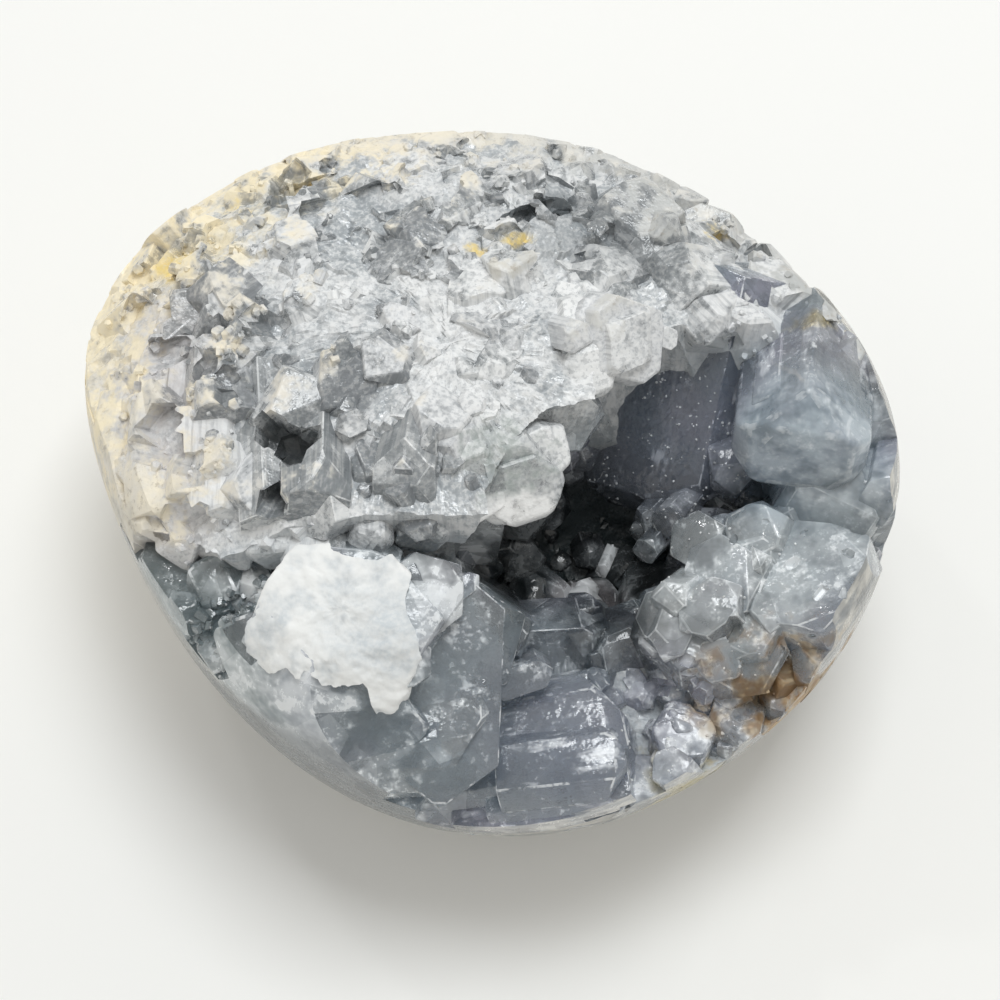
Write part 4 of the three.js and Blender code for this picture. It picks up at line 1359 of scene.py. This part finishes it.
    # Stain marks, and the painted shade low on the south-west side, each with how soft its edge is
    stain_and_shade_spots = lambda edge, *places: t.largest(*(t.spot(*place, edge, ragged_wobble) for place in places))
    pale = stain_and_shade_spots(
        0.6, ((-37, 24, 39), (11, 7, 7)), ((-25, 34, 37), (11, 5, 7)), ((-47, 13, 32), (7, 13, 12))
    )
    yellow = stain_and_shade_spots(
        0.5, ((-37.9, 23.2, 39), (2.4, 3.4, 3)), ((-34.5, 21.5, 40), (2.6, 2, 3)),
        ((-22, 35, 38), (4, 1.6, 3)), ((-29, 31.5, 37), (3, 1.6, 3)), ((-1.3, 20.7, 49), (1.3, 1.3, 2)),
        ((4, 22, 48.5), (1.5, 1.0, 2)), ((27.5, 27, 40), (1.4, 2.0, 3)),
    )
    body = t.paint(
        broken,
        (cream, rim),
        ((250, 236, 200), pale, 0.7),
        ((238, 212, 130), yellow, t.ramp(sugar, 0.35, 0.6, 0.3, 0.9)),
        # painted shade low on the south-west side of the ground outside, not a stain
        ((112, 117, 120), stain_and_shade_spots(0.5, ((-28, -32, 22), (22, 18, 12))), ground, 0.55),
        (
            t.mix(t.ramp(sugar, 0.4, 0.6), (164, 124, 74), (194, 170, 132)),
            stain_and_shade_spots(0.5, ((36, -26, 25), (10, 7, 9))), 0.9,
        ),
        ((186, 172, 112), stain_and_shade_spots(0.5, ((22.5, -36.5, 20), (6, 4, 5))), 0.6),
    )
    clear = t.times(t.ramp(milk, 0, 0.9, clearness, 0.05), t.rest(rim), t.ramp(crevice_shade, 0, 1, 1, 0.2))
    rough = t.add(t.ramp(milk, 0, 1, 0.14, 0.5), t.times(rim, 0.15))
    bump = t.bump(
        (t.noise(2.0, 3, 0.68), t.ramp(ground, 0, 1, 0.5, 0.12), 0.5), (grain, 0.08, 0.5),
        (speckle, 0.15, 0.5),
    )
    return t.done(Base_Color=body, Roughness=rough, IOR=CELESTINE_IOR, Transmission_Weight=clear, Normal=bump)


def floor_material():
    t = Tree("floor")
    shade = t.mix(t.noise(60, 2, 0.5), (242, 242, 240), (244, 244, 242))
    return t.done(Base_Color=shade, Roughness=0.75)


materials = (
    massive_material("frosted_celestite", LEDGE_CLEARNESS), hollow_material(),
    massive_material("massive_celestite", 0),
)
for ob, material in zip((ledge, hollow, wall), materials):
    ob.data.materials.clear()
    ob.data.materials.append(material)

# Floor, light and camera
bm = bmesh.new()
bmesh.ops.create_grid(bm, x_segments=1, y_segments=1, size=FLOOR_REACH)
floor_mesh = bpy.data.meshes.new("floor")
bm.to_mesh(floor_mesh)
bm.free()
floor = placed(floor_mesh, "floor")
floor_mesh.materials.append(floor_material())

world = bpy.data.worlds.new("studio")
bpy.context.scene.world = world
world.use_nodes = True
background = world.node_tree.nodes["Background"]
background.inputs["Color"].default_value = (1, 0.985, 0.945, 1)


def world_brightness(horizon, overhead):
    """Soft room light, a little brighter all round than overhead."""
    nodes, links = world.node_tree.nodes, world.node_tree.links
    direction = nodes.new("ShaderNodeTexCoord").outputs["Generated"]
    split = nodes.new("ShaderNodeSeparateXYZ")
    links.new(direction, split.inputs[0])
    ramp = nodes.new("ShaderNodeMapRange")
    ramp.interpolation_type = "SMOOTHSTEP"
    for name, value in (("From Min", 0.0), ("From Max", 0.8), ("To Min", horizon), ("To Max", overhead)):
        ramp.inputs[name].default_value = value
    links.new(split.outputs["Z"], ramp.inputs["Value"])
    links.new(ramp.outputs[0], background.inputs["Strength"])


def area_light(name, place, size, power, tone):
    data = bpy.data.lights.new(name, "AREA")
    data.energy, data.size, data.color = power, size, tone
    ob = placed(data, name)
    ob.location = place
    ob.rotation_euler = (LIGHTS_AIM - Vector(place)).to_track_quat("-Z", "Y").to_euler()


world_brightness(horizon=0.72, overhead=0.56)
area_light("key", (0.10, 0.19, 0.82), 0.36, 3.5, (0.95, 0.98, 1))
area_light("glint", (-0.30, 0.36, 0.62), 0.05, 0.22, (1, 1, 1))

target = (Vector((0, 0, CAMERA_AIM_HEIGHT)) - MIDDLE) * 0.001
right = Vector((1, 0, 0))
forward = Vector((0, math.cos(CAMERA_ELEVATION), -math.sin(CAMERA_ELEVATION)))
up = right.cross(forward)
camera = placed(bpy.data.cameras.new("camera"), "camera")
camera.data.sensor_width = SENSOR
camera.data.lens = SENSOR * CAMERA_DISTANCE / (IMAGE_WIDTH * PIXEL)
camera.data.clip_start = 0.01
place = target + right * FRAME_RIGHT - up * FRAME_DOWN - forward * CAMERA_DISTANCE
camera.matrix_world = Matrix.Translation(place) @ Matrix((right, up, -forward)).transposed().to_4x4()
bpy.context.scene.camera = camera
bpy.context.scene.view_settings.view_transform = "Standard"
